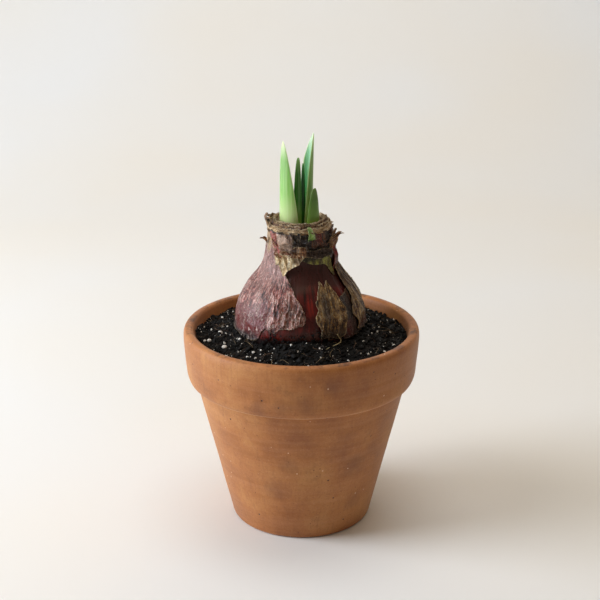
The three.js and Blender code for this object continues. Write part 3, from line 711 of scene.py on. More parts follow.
def scatter_tree():
    """Scatters copies of a collection's pieces over a surface, turned every way and sunk a little."""
    tree, given = new_tree("Scatter", [
        ("Density", "NodeSocketFloat", 1000.0), ("Seed", "NodeSocketInt", 0),
        ("Pieces", "NodeSocketCollection", None), ("Smallest", "NodeSocketFloat", 0.5),
        ("Largest", "NodeSocketFloat", 1.0), ("Rarity", "NodeSocketFloat", 2.0),
        ("Sink", "NodeSocketFloat", 0.0), ("Tumble", "NodeSocketFloat", 3.1),
        ("Material", "NodeSocketMaterial", None)])
    points = add(tree, "GeometryNodeDistributePointsOnFaces", {
        "Mesh": given["Geometry"], "Density": given["Density"], "Seed": given["Seed"]})
    kinds = add(tree, "GeometryNodeCollectionInfo", {
        "Collection": given["Pieces"], "Separate Children": True, "Reset Children": True})
    chance = add(tree, "FunctionNodeRandomValue", {"Seed": given["Seed"]}, data_type="FLOAT")
    rare = add(tree, "ShaderNodeMath", {0: chance.outputs[1], 1: given["Rarity"]}, operation="POWER")
    size = add(tree, "ShaderNodeMapRange", {
        "Value": rare.outputs[0], "To Min": given["Smallest"], "To Max": given["Largest"]})
    backwards = add(tree, "ShaderNodeMath", {0: given["Tumble"], 1: -1.0}, operation="MULTIPLY")
    least = add(tree, "ShaderNodeCombineXYZ", {0: backwards.outputs[0], 1: backwards.outputs[0], 2: -math.pi})
    most = add(tree, "ShaderNodeCombineXYZ", {0: given["Tumble"], 1: given["Tumble"], 2: math.pi})
    turns = add(tree, "FunctionNodeRandomValue", {
        0: least.outputs[0], 1: most.outputs[0], "Seed": given["Seed"]}, data_type="FLOAT_VECTOR")
    placed = add(tree, "GeometryNodeInstanceOnPoints", {
        "Points": points.outputs[0], "Instance": kinds.outputs[0], "Pick Instance": True,
        "Rotation": turns.outputs[0], "Scale": size.outputs[0]})
    depth = add(tree, "ShaderNodeMath", {0: size.outputs[0], 1: given["Sink"]}, operation="MULTIPLY")
    lowered = add(tree, "GeometryNodeTranslateInstances", {
        "Instances": placed.outputs[0], "Translation": add(
            tree, "ShaderNodeCombineXYZ", {2: depth.outputs[0]}).outputs[0]})
    lowered.inputs["Local Space"].default_value = False
    return finish_tree(tree, lowered.outputs[0], given["Material"])


def ball(name, fineness, seed, stretch=(1, 1, 1), bumps=0.3):
    """A lumpy ball one millimetre in radius, made of few faces."""
    mesh = bpy.data.meshes.new(name)
    build = bmesh.new()
    bmesh.ops.create_icosphere(build, subdivisions=fineness, radius=1.0)
    for vertex in build.verts:
        x, y, z = vertex.co
        grown = 1 + bumps * float(rough(x * 1.3 + 7 * seed, y * 1.3, z * 1.3, 2, seed))
        vertex.co = [c * grown * s * MM for c, s in zip((x, y, z), stretch)]
    build.to_mesh(mesh)
    build.free()
    return bpy.data.objects.new(name, mesh)


def kit(name, pieces):
    """A collection of pieces that only the scattering reads."""
    group = bpy.data.collections.new(name)
    for piece in pieces:
        group.objects.link(piece)
    return group


def drop_kit(group):
    for piece in list(group.objects):
        bpy.data.objects.remove(piece)
    bpy.data.collections.remove(group)


# ---------- settings ----------
class PotSettings(PropertyGroup):
    rim_radius: FloatProperty(
        name="Rim radius", description="Outer radius of the rim", default=float(POT_HIGH[0]), unit="NONE")
    height: FloatProperty(name="Height", description="Height of the pot", default=float(POT_HIGH[2]))
    wall: FloatProperty(name="Wall", description="Thickness of the rim's wall", default=6.1)
    band_foot: FloatProperty(name="Band foot", description="Height at which the rim's band starts", default=95.0)
    foot_radius: FloatProperty(name="Foot radius", description="Outer radius just above the foot", default=45.6)
    neck_radius: FloatProperty(name="Neck radius", description="Outer radius just under the band", default=67.6)
    floor: FloatProperty(name="Floor", description="Thickness of the pot's floor", default=8.0)
    unevenness: FloatProperty(name="Unevenness", description="How far the clay strays from round", default=0.7)
    clay: FloatVectorProperty(
        name="Clay", description="Colour of the fired clay", default=srgb("#AE6E39"), size=4, subtype="COLOR")
    shade: FloatVectorProperty(
        name="Shade", description="Colour of the clay's dark clouds", default=srgb("#925528"), size=4,
        subtype="COLOR")
    pale: FloatVectorProperty(
        name="Pale", description="Colour of the clay's pale clouds", default=srgb("#C2884F"), size=4,
        subtype="COLOR")


class SoilSettings(PropertyGroup):
    at_bulb: FloatProperty(name="Height at the bulb", description="Height of the soil at the bulb", default=128.4)
    at_wall: FloatProperty(name="Height at the wall", description="Height of the soil at the wall", default=121.4)
    heap: FloatProperty(name="Heap", description="Height of the heap of soil in front of the bulb", default=4.5)
    crumbs: IntProperty(name="Crumbs", description="Crumbs to a square centimetre", default=40)
    perlite: FloatProperty(name="Perlite", description="Small perlite grains to a square centimetre", default=6.0)
    fibres: FloatProperty(name="Fibres", description="Peat fibres to a square centimetre", default=2.4)


class StageSettings(PropertyGroup):
    distance: FloatProperty(
        name="Distance", description="From the camera to the pot's axis, over the floor", default=0.7623,
        unit="LENGTH")
    height: FloatProperty(name="Height", description="Height of the camera", default=0.4115, unit="LENGTH")
    pitch: FloatProperty(
        name="Pitch", description="How far the camera looks down", default=0.336, subtype="ANGLE")
    lens: FloatProperty(name="Lens", description="Focal length in millimetres", default=76.53)
    floor: FloatVectorProperty(
        name="Floor", description="Colour of the floor and backdrop", default=srgb("#EFF1F2"), size=4,
        subtype="COLOR")
    key: FloatProperty(name="Key light", description="Power of the key light", default=12.5, unit="POWER")


# ---------- pieces ----------
def pot_outer(z):
    """Radius of the pot's outer face at a height."""
    pot = bpy.context.scene.amaryllis_pot
    if z > pot.band_foot:
        return pot.rim_radius - 1
    return pot.foot_radius + (z - 3) * (pot.neck_radius - pot.foot_radius) / (pot.band_foot - 3)


def quadratic(start, control, end, steps=7):
    """Points of a quadratic curve, without its start."""
    t = np.linspace(0, 1, steps + 1)[1:, None]
    return (1 - t) ** 2 * np.array(start) + 2 * t * (1 - t) * np.array(control) + t * t * np.array(end)


def straight(start, end, step=2.5):
    count = max(1, int(np.hypot(*np.subtract(end, start)) / step))
    t = np.linspace(0, 1, count + 1)[1:, None]
    return (1 - t) * np.array(start) + t * np.array(end)


def pot_inner(settings, z):
    slope = (settings.neck_radius - settings.foot_radius) / (settings.band_foot - 3)
    return settings.rim_radius - settings.wall - (settings.height - z) * slope


def pot_profile(settings):
    """The pot's section as (radius, height), up the outside, over the rim and down the inside."""
    rim, height, band, foot = settings.rim_radius, settings.height, settings.band_foot, settings.foot_radius
    neck, floor = settings.neck_radius, settings.floor
    mouth = rim - settings.wall
    drain, ring, hollow = 7.0, 36.0, 1.6
    pieces = [
        ("line", (foot - 3, 0)), ("curve", (foot - 0.4, 0), (foot, 3)),
        ("line", (neck - 0.1, band - 1.0)), ("curve", (neck + 0.1, band - 0.3), (neck + 0.8, band - 0.3)),
        ("line", (neck + 1.9, band - 0.5)), ("curve", (neck + 3.0, band - 0.5), (neck + 3.9, band + 0.6)),
        ("curve", (rim - 2.0, band + 2.6), (rim - 1.6, band + 7.5)),
        ("line", (rim - 0.3, height - 12)), ("curve", (rim, height - 8), (rim, height - 5)),
        ("curve", (rim, height), (rim - 2.8, height)), ("line", (mouth + 2.2, height)),
        ("curve", (mouth, height), (pot_inner(settings, height - 2.6), height - 2.6)),
        ("line", (pot_inner(settings, floor + 4), floor + 4)),
        ("curve", (pot_inner(settings, floor), floor), (pot_inner(settings, floor) - 4, floor)),
        ("line", (drain + 1, floor)), ("curve", (drain, floor), (drain, floor - 1)),
        ("line", (drain, hollow + 0.6)), ("curve", (drain, hollow), (drain + 0.8, hollow)),
        ("line", (ring - 2, hollow)), ("curve", (ring - 0.5, hollow), (ring, 0)),
    ]
    points = [np.array([(ring, 0.0)])]
    for kind, *stops in pieces:
        start = points[-1][-1]
        points.append(straight(start, *stops) if kind == "line" else quadratic(start, *stops))
    return np.concatenate(points)[:-1]


class AMARYLLIS_OT_pot(Operator):
    """Turn the terracotta pot"""
    bl_idname = "amaryllis.pot"
    bl_label = "Pot"

    def execute(self, context):
        settings = context.scene.amaryllis_pot
        profile = pot_profile(settings)
        points = np.stack([profile[:, 0], 0 * profile[:, 0], profile[:, 1]], -1) * MM
        host = mesh_object("pot_turned", points, [])
        clay = terracotta(settings)
        run_tree(turned_ware_tree(), host, {
            "Segments": 256, "Points": len(profile), "Unevenness": settings.unevenness * MM, "Seed": 3.0,
            "Material": clay})
        seat(host, "terracotta", "terracotta_pot")
        return {"FINISHED"}


def soil_patch(settings, name="soil_ground", rings=110, spokes=260):
    """The top of the soil, from under the bulb's shoulder to the pot's wall."""
    inner = 34.0
    outer = pot_inner(bpy.context.scene.amaryllis_pot, settings.at_wall) - 0.15
    turn, out = np.meshgrid(np.linspace(0, 2 * math.pi, spokes, endpoint=False), np.linspace(0, 1, rings))
    radius = outer + (inner - outer) * out
    x, y = radius * np.cos(turn), radius * np.sin(turn)
    z = soil_height(x, y, settings)
    z = z + 0.9 * rough(x / 9, y / 9, 0, 2, 5) + 0.9 * rough(x / 3.2, y / 3.2, 0, 3, 8)
    z = z + 0.35 * rough(x / 1.1, y / 1.1, 0, 2, 14)
    # Crumbs heap a little against the pot's wall in places.
    z = z + 2.4 * ramp(59, 67.5, radius) * ramp(-0.3, 0.5, rough(np.cos(turn) * 2.2, np.sin(turn) * 2.2, 0, 3, 19))
    return np.stack([x, y, z], -1) * MM, radius


class AMARYLLIS_OT_soil(Operator):
    """Fill the pot with potting soil"""
    bl_idname = "amaryllis.soil"
    bl_label = "Potting soil"

    def execute(self, context):
        settings = context.scene.amaryllis_soil
        pot = context.scene.amaryllis_pot
        material = peat()
        top, _ = soil_patch(settings)
        heights = np.array([settings.at_wall - 1.5, 60, pot.floor + 4.4, pot.floor + 0.4])
        radii = pot_inner(pot, heights) - 0.3
        radii[-1] -= 4
        turn = np.linspace(0, 2 * math.pi, top.shape[1], endpoint=False)
        wall = np.stack([
            np.outer(radii, np.cos(turn)), np.outer(radii, np.sin(turn)), np.outer(heights, np.ones(len(turn)))], -1)
        body = np.concatenate([(wall * MM)[::-1], top])
        soil = grid_object("soil_body", body, material, wraps=True, caps=(0, -1))
        seat(soil, "soil", "potting_soil")
        surface = grid_object("soil_top", top, None, wraps=True)
        crumbs = kit("crumb_kit", [ball(f"crumb_{k}", 1, k, (1, 0.8, 0.7), 0.5) for k in range(6)])
        lumps = kit("lump_kit", [ball(f"lump_{k}", 2, k + 20, (1, 0.85, 0.7), 0.55) for k in range(5)])
        tree = scatter_tree()
        for label, group, share, least, most, rarity in (
                ("soil_crumbs", crumbs, 1.0, 0.35, 1.15, 1.4), ("soil_lumps", lumps, 0.16, 0.9, 2.3, 2.2)):
            host = mesh_object(label, top, surface_faces(surface))
            run_tree(tree, host, {
                "Density": settings.crumbs * share * 1e4, "Seed": 11, "Pieces": group, "Smallest": least,
                "Largest": most, "Rarity": rarity, "Sink": 0.0001, "Material": material})
            seat(host, "soil")
        bpy.data.objects.remove(surface)
        # Crumbs cling to the foot of the bulb, thinning out upwards.
        for k, (low, high, density, reach) in enumerate(((127, 134, 60, 34), (132, 137, 26, 26), (135, 141, 8, 22))):
            azimuth, z = np.meshgrid(np.linspace(-reach, reach + 6, 40), np.linspace(low, high, 8))
            host = grid_object(f"soil_on_bulb_{k + 1}", around(azimuth, bulb_radius(azimuth, z) + 1.4, z), None)
            run_tree(tree, host, {
                "Density": density * 1e4, "Seed": 40 + k, "Pieces": crumbs, "Smallest": 0.25, "Largest": 0.95,
                "Rarity": 1.8, "Sink": 0.0, "Material": material})
            seat(host, "soil")
        drop_kit(crumbs)
        drop_kit(lumps)
        return {"FINISHED"}


def surface_faces(surface):
    return [tuple(face.vertices) for face in surface.data.polygons]


def bare_soil(settings, clear_of=42.0):
    """The part of the soil's top that the bulb leaves bare, as a host for scattering."""
    top, radius = soil_patch(settings)
    rows = int((radius[:, 0] > clear_of).sum())
    return grid_object("bare_soil", top[:rows], None, wraps=True)


def peat_strand(name, seed, length, thickness):
    """A bent strand of peat fibre, lying along X and a little raised at its middle."""
    t = np.linspace(-1, 1, 9)
    bend = np.random.default_rng(seed).uniform(-1, 1, 4)
    path = np.stack([
        t * length / 2, length * (0.22 * bend[0] * t ** 2 + 0.2 * bend[1] * np.sin(3 * t)),
        length * (0.14 * (1 - t ** 2) + 0.06 * bend[2] * np.sin(4 * t + bend[3]))], -1) * MM
    width = thickness * MM * (1 - 0.6 * np.abs(t) ** 3)
    points = rod_points(path, width, 4)
    rows, columns = points.shape[:2]
    index = np.arange(rows * columns).reshape(rows, columns)
    ring = np.concatenate([index, index[:, :1]], 1)
    quads = np.stack([ring[:-1, :-1], ring[:-1, 1:], ring[1:, 1:], ring[1:, :-1]], -1)
    mesh = bpy.data.meshes.new(name)
    faces = quads.reshape(-1, 4).tolist() + [index[0, ::-1].tolist(), index[-1].tolist()]
    mesh.from_pydata(points.reshape(-1, 3).tolist(), [], faces)
    return bpy.data.objects.new(name, mesh)


class AMARYLLIS_OT_litter(Operator):
    """Scatter perlite grains and peat fibres over the soil"""
    bl_idname = "amaryllis.litter"
    bl_label = "Perlite and fibres"

    def execute(self, context):
        settings = context.scene.amaryllis_soil
        grains = kit("grain_kit", [ball(f"grain_{k}", 2, k + 50, (1, 0.85, 0.75), 0.35) for k in range(6)])
        strands = kit("strand_kit", [peat_strand(f"strand_{k}", k, 3 + 1.3 * k, 0.09) for k in range(6)])
        tree = scatter_tree()
        white = perlite()
        for label, group, density, least, most, rarity, sink, tumble, slot, material, seed in (
                ("perlite_grains", grains, settings.perlite, 0.16, 1.0, 4.0, 0.0004, 3.1, "perlite", white, 7),
                ("peat_fibres_dark", strands, settings.fibres * 0.6, 0.6, 1.6, 1.5, 0.0004, 0.5, "soil",
                 fibre("peat_fibre", "#6B4B30", "#2A1B12"), 23),
                ("peat_fibres_pale", strands, settings.fibres * 0.4, 0.5, 1.5, 2.0, 0.0005, 0.5, "root",
                 fibre("dry_peat_fibre", "#A89068", "#5E4A30"), 31)):
            host = bare_soil(settings)
            host.name = label
            run_tree(tree, host, {
                "Density": density * 1e4, "Seed": seed, "Pieces": group, "Smallest": least, "Largest": most,
                "Rarity": rarity, "Sink": sink, "Tumble": tumble, "Material": material})
            seat(host, slot)
        drop_kit(grains)
        drop_kit(strands)
        self.large_grains(white)
        return {"FINISHED"}

    def large_grains(self, white):
        """The largest grains lie where the frame has them."""
        names = sorted((n for n in frame["nodes"] if n.startswith("perlite_")), key=lambda n: int(n.split("_")[1]))
        for k, name in enumerate(names):
            low, high = (np.array(corner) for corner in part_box(name))
            grain = ball(f"{name}_grain", 3, k + 90, (1.15, 1, 0.9), 0.3)
            size = float(high[2] - low[2]) / (2 * 0.9 * MM)
            coordinates = np.array([v.co for v in grain.data.vertices]) * size + (low + high) / 2 + (0, 0, 0.0005)
            grain.data.vertices.foreach_set("co", coordinates.ravel())
            grain.data.polygons.foreach_set("use_smooth", [True] * len(grain.data.polygons))
            grain.data.materials.append(white)
            bpy.context.scene.collection.objects.link(grain)
            seat(grain, "perlite", name)


class AMARYLLIS_OT_bulb(Operator):
    """Shape the bulb's fleshy body"""
    bl_idname = "amaryllis.bulb"
    bl_label = "Bulb"

    def execute(self, context):
        heights = np.concatenate([np.linspace(86, BULB_TOP, 190), [BULB_TOP] * 2, [THROAT_FLOOR]])
        azimuth, z = np.meshgrid(np.linspace(0, 360, 340, endpoint=False), heights)
        radius = bulb_radius(azimuth, z)
        a = np.radians(azimuth)
        belly = ramp(120, 132, z) * ramp(176, 160, z)
        furrows = 0.35 * rough(np.cos(a) * 14, np.sin(a) * 14, z / 30, 3, 2) * belly
        radius = radius + furrows
        radius[-2:] = 14.4
        points = around(azimuth, radius, z)
        signed = (azimuth + 180) % 360 - 180
        # Darker above about 160 mm under the neck, partly its own colour and partly painted shade; darker at the front
        # foot with soil.
        bruise = ramp(157, 167, z + 0.12 * np.abs(signed - 15) + 3 * noise(signed / 8, z / 7, 0, 4))
        bruise = np.maximum(bruise, 0.8 * ramp(141, 136, z) * bump(0, 24, signed))
        fields = {"bruise": bruise, "smudge": soil_dust(signed, z)}
        uv = (np.where(azimuth > 180, azimuth - 360, azimuth) * math.radians(40), z)
        body = grid_object("bulb_body", points, bulb_flesh(), wraps=True, caps=(0, -1), fields=fields, uv=uv)
        seat(body, "bulb_flesh", "bulb")
        return {"FINISHED"}


class AMARYLLIS_OT_tunics(Operator):
    """Wrap the bulb in its torn papery tunics"""
    bl_idname = "amaryllis.tunics"
    bl_label = "Tunics"

    def execute(self, context):
        self.left()
        self.right()
        self.middle()
        self.gold()
        return {"FINISHED"}

    def left(self):
        # The pale tint laid over the mauve tunic is a painted highlight.
        mauve = papery(
            "mauve_tunic", ["#0E0203", "#501614", "#A85A4E", "#FFD6CA"], "#DCC49C", vein=0.8, roughness=0.36,
            blotch=4, coat=0.2, creased="#F8E0D4", creasing=0.75, tints=[
                ("flush", "#6A0C0A", 1.0), ("dry", "#6C4A38", 0.45), ("pallor", "#C49C94", 0.45),
                ("husk", "#C8A67A", 0.9), ("smudge", "#120B09", 0.95)])

        def flush(azimuth, z):
            low = 1.6 * ramp(156, 141, z + 6 * noise(azimuth / 9, z / 6, 0, 6)) * ramp(-26, -38, azimuth)
            high = 0.75 * bump(164, 6, z) * bump(-58, 9, azimuth) + 0.7 * bump(154, 3, z) * bump(-84, 4, azimuth)
            return np.maximum(low, high)

        def dry(azimuth, z):
            return 0.9 * ramp(-34, -6, azimuth) * ramp(164, 150, z)

        # Painted highlight: paler on the skin's upper part and on its left front, where the light falls.
        def pallor(azimuth, z):
            high = bump(168, 8, z) * bump(-52, 22, azimuth)
            return 0.5 * ramp(160, 171, z) + 0.9 * high + 0.6 * bump(152, 9, z) * bump(-50, 20, azimuth)

        def wrinkles(azimuth, z):
            amount = 0.3 + 0.7 * ramp(-46, -16, azimuth) * ramp(168, 155, z)
            arc = np.radians(azimuth) * 38
            bend = 0.8 * noise(arc / 7, z / 7, 0, 3)
            lines = 1 - np.abs(noise(arc / 3.4 + bend, z / 15, 0, 33))
            fine = 1 - np.abs(noise(arc / 1.7 + bend, z / 6, 0, 35))
            cross = 1 - np.abs(noise(arc / 7 + z / 6, z / 2.6, 0, 37))
            dents = 0.35 * noise(arc / 9, z / 8, 0, 38)
            return amount * (1.15 * lines ** 5 + 0.5 * fine ** 5 + 0.45 * cross ** 6) + dents - 0.2

        piece = sheet_on_bulb(
            "tunic_left_skin", mauve, layer=0, seed=2, cell=0.52, tear=0.7, crumple=0.2, ridge=3.4, curl=0.9,
            free=(0, 1, 1, 0.4), thickness=0.3, lift=wrinkles,
            sides=([(130, -172), (191, -172)],
                   [(137, 3), (142, 4), (147, 6), (151, 4), (155, 1), (158, -4), (164, -11), (167, -16),
                    (169, -20), (172, -27), (176, -36), (180, -39), (183, -46), (187, -54), (190, -62)]),
            ends=([(-172, 131), (-120, 130.5), (-90, 130), (-71, 129.5), (-55, 129), (-44, 129.5), (-38, 132),
                   (-34, 137.5), (-28, 139), (-22, 137), (-18, 139.5), (-8, 141), (2, 142), (6, 144.5)],
                  [(-172, 192), (-62, 191.5), (-40, 190)]),
            tints={"flush": flush, "dry": dry, "pallor": pallor, "smudge": soil_dust,
                   "husk": lambda a, z: ramp(179, 187, z + 3 * noise(a / 9, z / 5, 0, 9))})
        seat(piece, "mauve_skin", "tunic_left")

    def right(self):
        brown = papery(
            "brown_tunic", ["#120704", "#3E2614", "#7C5A36", "#D4B47C"], "#C9B084", vein=1.2, roughness=0.46,
            blotch=7, tints=[("flush", "#5A1D18", 0.8), ("smudge", "#120C0A", 0.9)])

        def flush(azimuth, z):
            return 0.8 * ramp(142, 134, z) * bump(80, 26, azimuth) + 0.6 * bump(150, 8, z) * bump(150, 20, azimuth)

        def wrinkles(azimuth, z):
            arc = np.radians(azimuth) * 38
            wide = (1 - np.abs(noise(arc / 3.1, z / 20, 0, 43))) ** 5
            narrow = (1 - np.abs(noise(arc / 1.6, z / 9, 0, 45))) ** 5
            ribs = wide + 0.5 * narrow
            return 0.8 * ribs + 0.3 * rough(arc / 5, z / 9, 0, 3, 44) - 0.2

        piece = sheet_on_bulb(
            "tunic_right_skin", brown, layer=1, seed=4, cell=0.55, tear=0.8, crumple=0.25, ridge=3.0, curl=0.9,
            free=(1, 1, 1, 1), lift=wrinkles,
            sides=([(132, 58), (137, 62), (145, 57), (151.5, 60), (155, 63), (164, 63), (170, 65), (178, 74)],
                   [(130, 186), (138, 193), (146, 188), (156, 199), (163, 193), (170, 201), (182, 194)]),
            ends=([(58, 134), (80, 131.5), (120, 131), (202, 131)],
                  [(58, 169), (70, 172), (90, 177), (104, 174.5), (122, 181), (140, 177), (158, 182.5), (176, 178),
                   (202, 183)]),
            tints={"flush": flush, "smudge": soil_dust})
        seat(piece, "brown_skin", "tunic_right")

    def middle(self):
        dark = papery(
            "dark_tunic", ["#0C0504", "#1E0E0A", "#351B10", "#6E4428"], "#9C8462", vein=1.3, roughness=0.4,
            blotch=8, tints=[("flush", "#5C1C18", 0.9), ("smudge", "#100B09", 0.9)])
        piece = sheet_on_bulb(
            "tunic_middle_skin", dark, layer=0, seed=6, cell=0.5, tear=0.6, crumple=0.3, ridge=3.5, curl=0.5,
            free=(1, 0.3, 1, 1), sides=([(131, 24), (150, 36), (156, 44)], [(130, 76), (160, 76)]),
            ends=([(24, 133), (50, 130.5), (76, 130.5)], [(30, 150), (50, 156), (76, 159)]),
            tints={"flush": lambda a, z: ramp(146, 138, z) * bump(44, 14, a), "smudge": soil_dust})
        seat(piece, "brown_skin", "tunic_middle")

    def gold(self):
        gold = papery(
            "golden_fibrous_flake", ["#180B05", "#583A1C", "#B48A50", "#FFE8B8"], "#EAD6AC", vein=0.75,
            roughness=0.55, blotch=4.5, fine=1.5, tints=[("dark", "#2E1F17", 0.85), ("smudge", "#17100C", 0.9)])

        def strands(azimuth, z):
            arc = np.radians(azimuth) * 38
            lines = (1 - np.abs(noise(arc / 1.9, z / 16, 0, 53))) ** 4
            return 0.9 * lines + 1.2 * ramp(152, 167, z) + 0.4 * noise(arc / 4, z / 8, 0, 55)

        piece = sheet_on_bulb(
            "tunic_gold_flake", gold, layer=1, seed=8, cell=0.32, tear=0.75, crumple=0.25, ridge=1.6, curl=0.9,
            free=(1, 1, 1, 1), lift=strands,
            sides=([(133, 18), (139, 18), (147, 15), (151, 17), (155, 16), (160, 20), (164, 23.5), (167, 24)],
                   [(133, 40), (139, 43), (144, 45), (149, 46), (153, 45), (158, 42), (163, 38.5), (166, 36)]),
            ends=([(15, 136), (18, 133.5), (26, 134.5), (32, 132.5), (40, 134), (46, 137)],
                  [(18, 163), (23, 166.5), (26, 165), (29.5, 162), (33, 164.5), (36, 166), (41, 163), (46, 157)]),
            tints={"dark": lambda a, z: 0.9 * bump(26, 5, a) * bump(152, 10, z) + 0.8 * ramp(142, 135, z),
                   "smudge": soil_dust})
        seat(piece, "gold_skin", "tunic_gold")


class AMARYLLIS_OT_neck(Operator):
    """Dress the neck in its old sheath ends, folds and curls"""
    bl_idname = "amaryllis.neck"
    bl_label = "Neck"

    def execute(self, context):
        self.skins()
        self.folds()
        self.collars()
        self.flakes()
        return {"FINISHED"}

    def skins(self):
        # The pale tint of neck_tunic is a painted highlight.
        bark = papery(
            "neck_tunic", ["#160906", "#5A3828", "#B48C74", "#FFEEDC"], "#D8BC8C", vein=1.5, roughness=0.34,
            blotch=3.4, coat=0.3, creased="#E8D2BE", creasing=0.6, tints=[
                ("pallor", "#D8B69E", 0.85), ("flush", "#A8402C", 1.0), ("dark", "#1C100A", 0.95)])
        russet = papery(
            "russet_tunic", ["#140904", "#3C1C0E", "#6E3C1C", "#B4743C"], "#C8A874", vein=1.4, roughness=0.38,
            blotch=3.4, coat=0.2, tints=[("flush", "#7C2418", 0.9), ("dark", "#160D09", 0.9)])
        pieces = (
            # neck_skin_left: the pale tint at az -30 is a painted highlight on its bulge; the dark tint paints shade in
            # the recess from az -16 on and a shadow under the collars above 192.5 mm.
            ("neck_skin_left", bark, 0.4, 3, [(182, -42), (186, -52), (190, -60), (197, -64)], [(182, -2), (197, 3)],
             182.5, 195.2, {"flush": lambda a, z: 1.5 * bump(-50 - (z - 190) * 1.6, 9, a),
                            "pallor": lambda a, z: 1.3 * bump(-30, 12, a) * bump(188.5, 4, z),
                            "dark": lambda a, z: ramp(-16, -8, a) + 1.2 * ramp(192.5, 194.5, z)}),
            # neck_skin_right: the dark tint paints shade in the recess left of az 16 to 26 and a shadow in the gap at
            # az 64, and darkens the skin towards its lower edge.
            ("neck_skin_right", russet, 0.0, 5, [(182, -12), (197, -10)], [(182, 92), (197, 92)], 182.5, 195.2,
             {"dark": lambda a, z: ramp(26, 16, a) + 1.4 * bump(64, 8, a) + ramp(186.5, 184, z),
              "flush": lambda a, z: 0.9 * bump(36, 9, a) * bump(191.5, 4, z)}),
            ("neck_skin_back", bark, 0, 7, [(178, 88), (197, 88)], [(178, 190), (197, 190)], 177.5, 195.2,
             {"dark": lambda a, z: 0.7 * bump(140, 15, a)}))
        for name, material, layer, seed, left, right, low, high, tints in pieces:
            ends = ([(left[0][1] - 20, low), (right[0][1] + 20, low)], [(left[0][1] - 20, high), (right[0][1], high)])
            piece = sheet_on_bulb(
                f"{name}_sheet", material, layer=layer, seed=seed, cell=0.4, tear=0.5, crumple=0.35, ridge=3,
                curl=0.6, free=(1, 1, 0.6, 0.3), sides=(left, right), ends=ends, tints=tints,
                lift=lambda a, z: 2.0 * (1 - np.abs(noise(a / 12 + z / 5, z / 2.6, 0, seed + 60))) ** 4
                + 1.1 * bump(-30, 15, a) * bump(188.5, 4, z) - 1.2 * bump(-3, 9, a) * bump(190, 5, z)
                + 0.5 * bump(34, 12, a) * bump(190, 4, z) - 0.6 * bump(64, 7, a) * bump(190, 6, z))
            seat(piece, "brown_skin", name)

    def folds(self):
        tan = papery(
            "dry_fold", ["#1E0F08", "#7C4C2E", "#D09A6C", "#FFE4B8"], "#D8C49C", vein=1.0, roughness=0.5,
            blotch=4, fine=1.4, tints=[("dark", "#21150F", 0.9), ("warm", "#A5603A", 0.7)])
        cream = papery(
            "cream_torn_flap", ["#8A6238", "#DCBC8A", "#F8E6BE", "#FFF8E0"], "#F6EED4", vein=1.0, roughness=0.6,
            blotch=4.5, tints=[("dark", "#5A3E28", 0.8)])
        olive = papery(
            "living_olive_scale", ["#2A2012", "#5C5028", "#A8A44A", "#DEE07A"], "#CFCB88", vein=1.1,
            roughness=0.38, blotch=6, tints=[("dark", "#1E150F", 0.9)])

        def rolls(azimuth, z):
            arc = np.radians(azimuth) * 22
            waves = np.sin((z - 179.6) * 1.9 + 0.9 * noise(arc / 5, z / 4, 0, 61) + arc * 0.06)
            crush = (1 - np.abs(noise(arc / 2.6 + z / 3, z / 1.3, 0, 64))) ** 4
            swell = 0.55 + 0.45 * noise(arc / 4.5, 0, 0, 63)
            return 0.5 + swell * (0.75 * waves + 1.6 * bump(182, 1.8, z)) + 1.2 * crush

        piece = sheet_on_bulb(
            "neck_fold_roll", tan, layer=0.6, seed=11, cell=0.32, tear=0.5, crumple=0.35, ridge=2.2, curl=0.5,
            lift=rolls, sides=([(178, -38), (186, -46)], [(178, 62), (186, 60)]),
            ends=([(-48, 181), (-30, 178.8), (-20, 179.6), (-6, 177.8), (10, 180.4), (36, 178.6), (62, 179.8)],
                  [(-48, 184.6), (-30, 183.6), (-14, 184.8), (-4, 186.8), (8, 186.2), (22, 184), (40, 185), (62, 183)]),
            # The dark tint paints shade at the recess over az -8, and darkens the fold's right half.
            tints={"dark": lambda a, z: 0.95 * ramp(4, 16, a) + 0.8 * bump(-8, 8, a) * bump(184.5, 1.6, z),
                   "warm": lambda a, z: 1.0 * bump(-28, 22, a) * bump(181.6, 2.2, z)})
        seat(piece, "brown_skin", "neck_fold")
        piece = sheet_on_bulb(
            "neck_flap_sheet", cream, layer=1, seed=12, cell=0.3, tear=0.4, crumple=0.35, ridge=3, curl=0.8,
            free=(1, 1, 1, 0.3), lift=lambda a, z: 0.5 + 0.5 * ramp(178, 170, z) + 1.6 * (
                1 - np.abs(noise(a / 8 + z / 7, z / 9, 0, 71))) ** 5,
            sides=([(168, -39), (182, -40)], [(168, 5), (182, 6)]),
            ends=([(-40, 179.4), (-36, 176.2), (-29, 174.4), (-22, 168.8), (-17, 172), (-8, 174.4), (-2, 175.8),
                   (6, 179.6)], [(-40, 181.6), (6, 181.6)]),
            # The dark tint paints shade at the flap's upper right, under the fold.
            tints={"dark": lambda a, z: bump(-3, 7, a) * bump(178, 2.6, z)})
        seat(piece, "cream_skin", "neck_flap")
        piece = sheet_on_bulb(
            "olive_scale_strip", olive, layer=0, seed=13, cell=0.35, tear=0.35, crumple=0.2, ridge=3, curl=0.3,
            free=(1, 1, 1, 0.2), sides=([(164, 4), (182, 5)], [(164, 61), (182, 62)]),
            ends=([(5, 178), (16, 176), (30, 175), (42, 174.6), (50, 172.5), (58, 166.5), (62, 170)],
                  [(5, 181.5), (62, 181.5)]),
            tints={"dark": lambda a, z: 0.9 * ramp(48, 36, a) * bump(180, 3, z) + 0.5 * ramp(20, 8, a)})
        seat(piece, "olive_scale", "olive_scale")

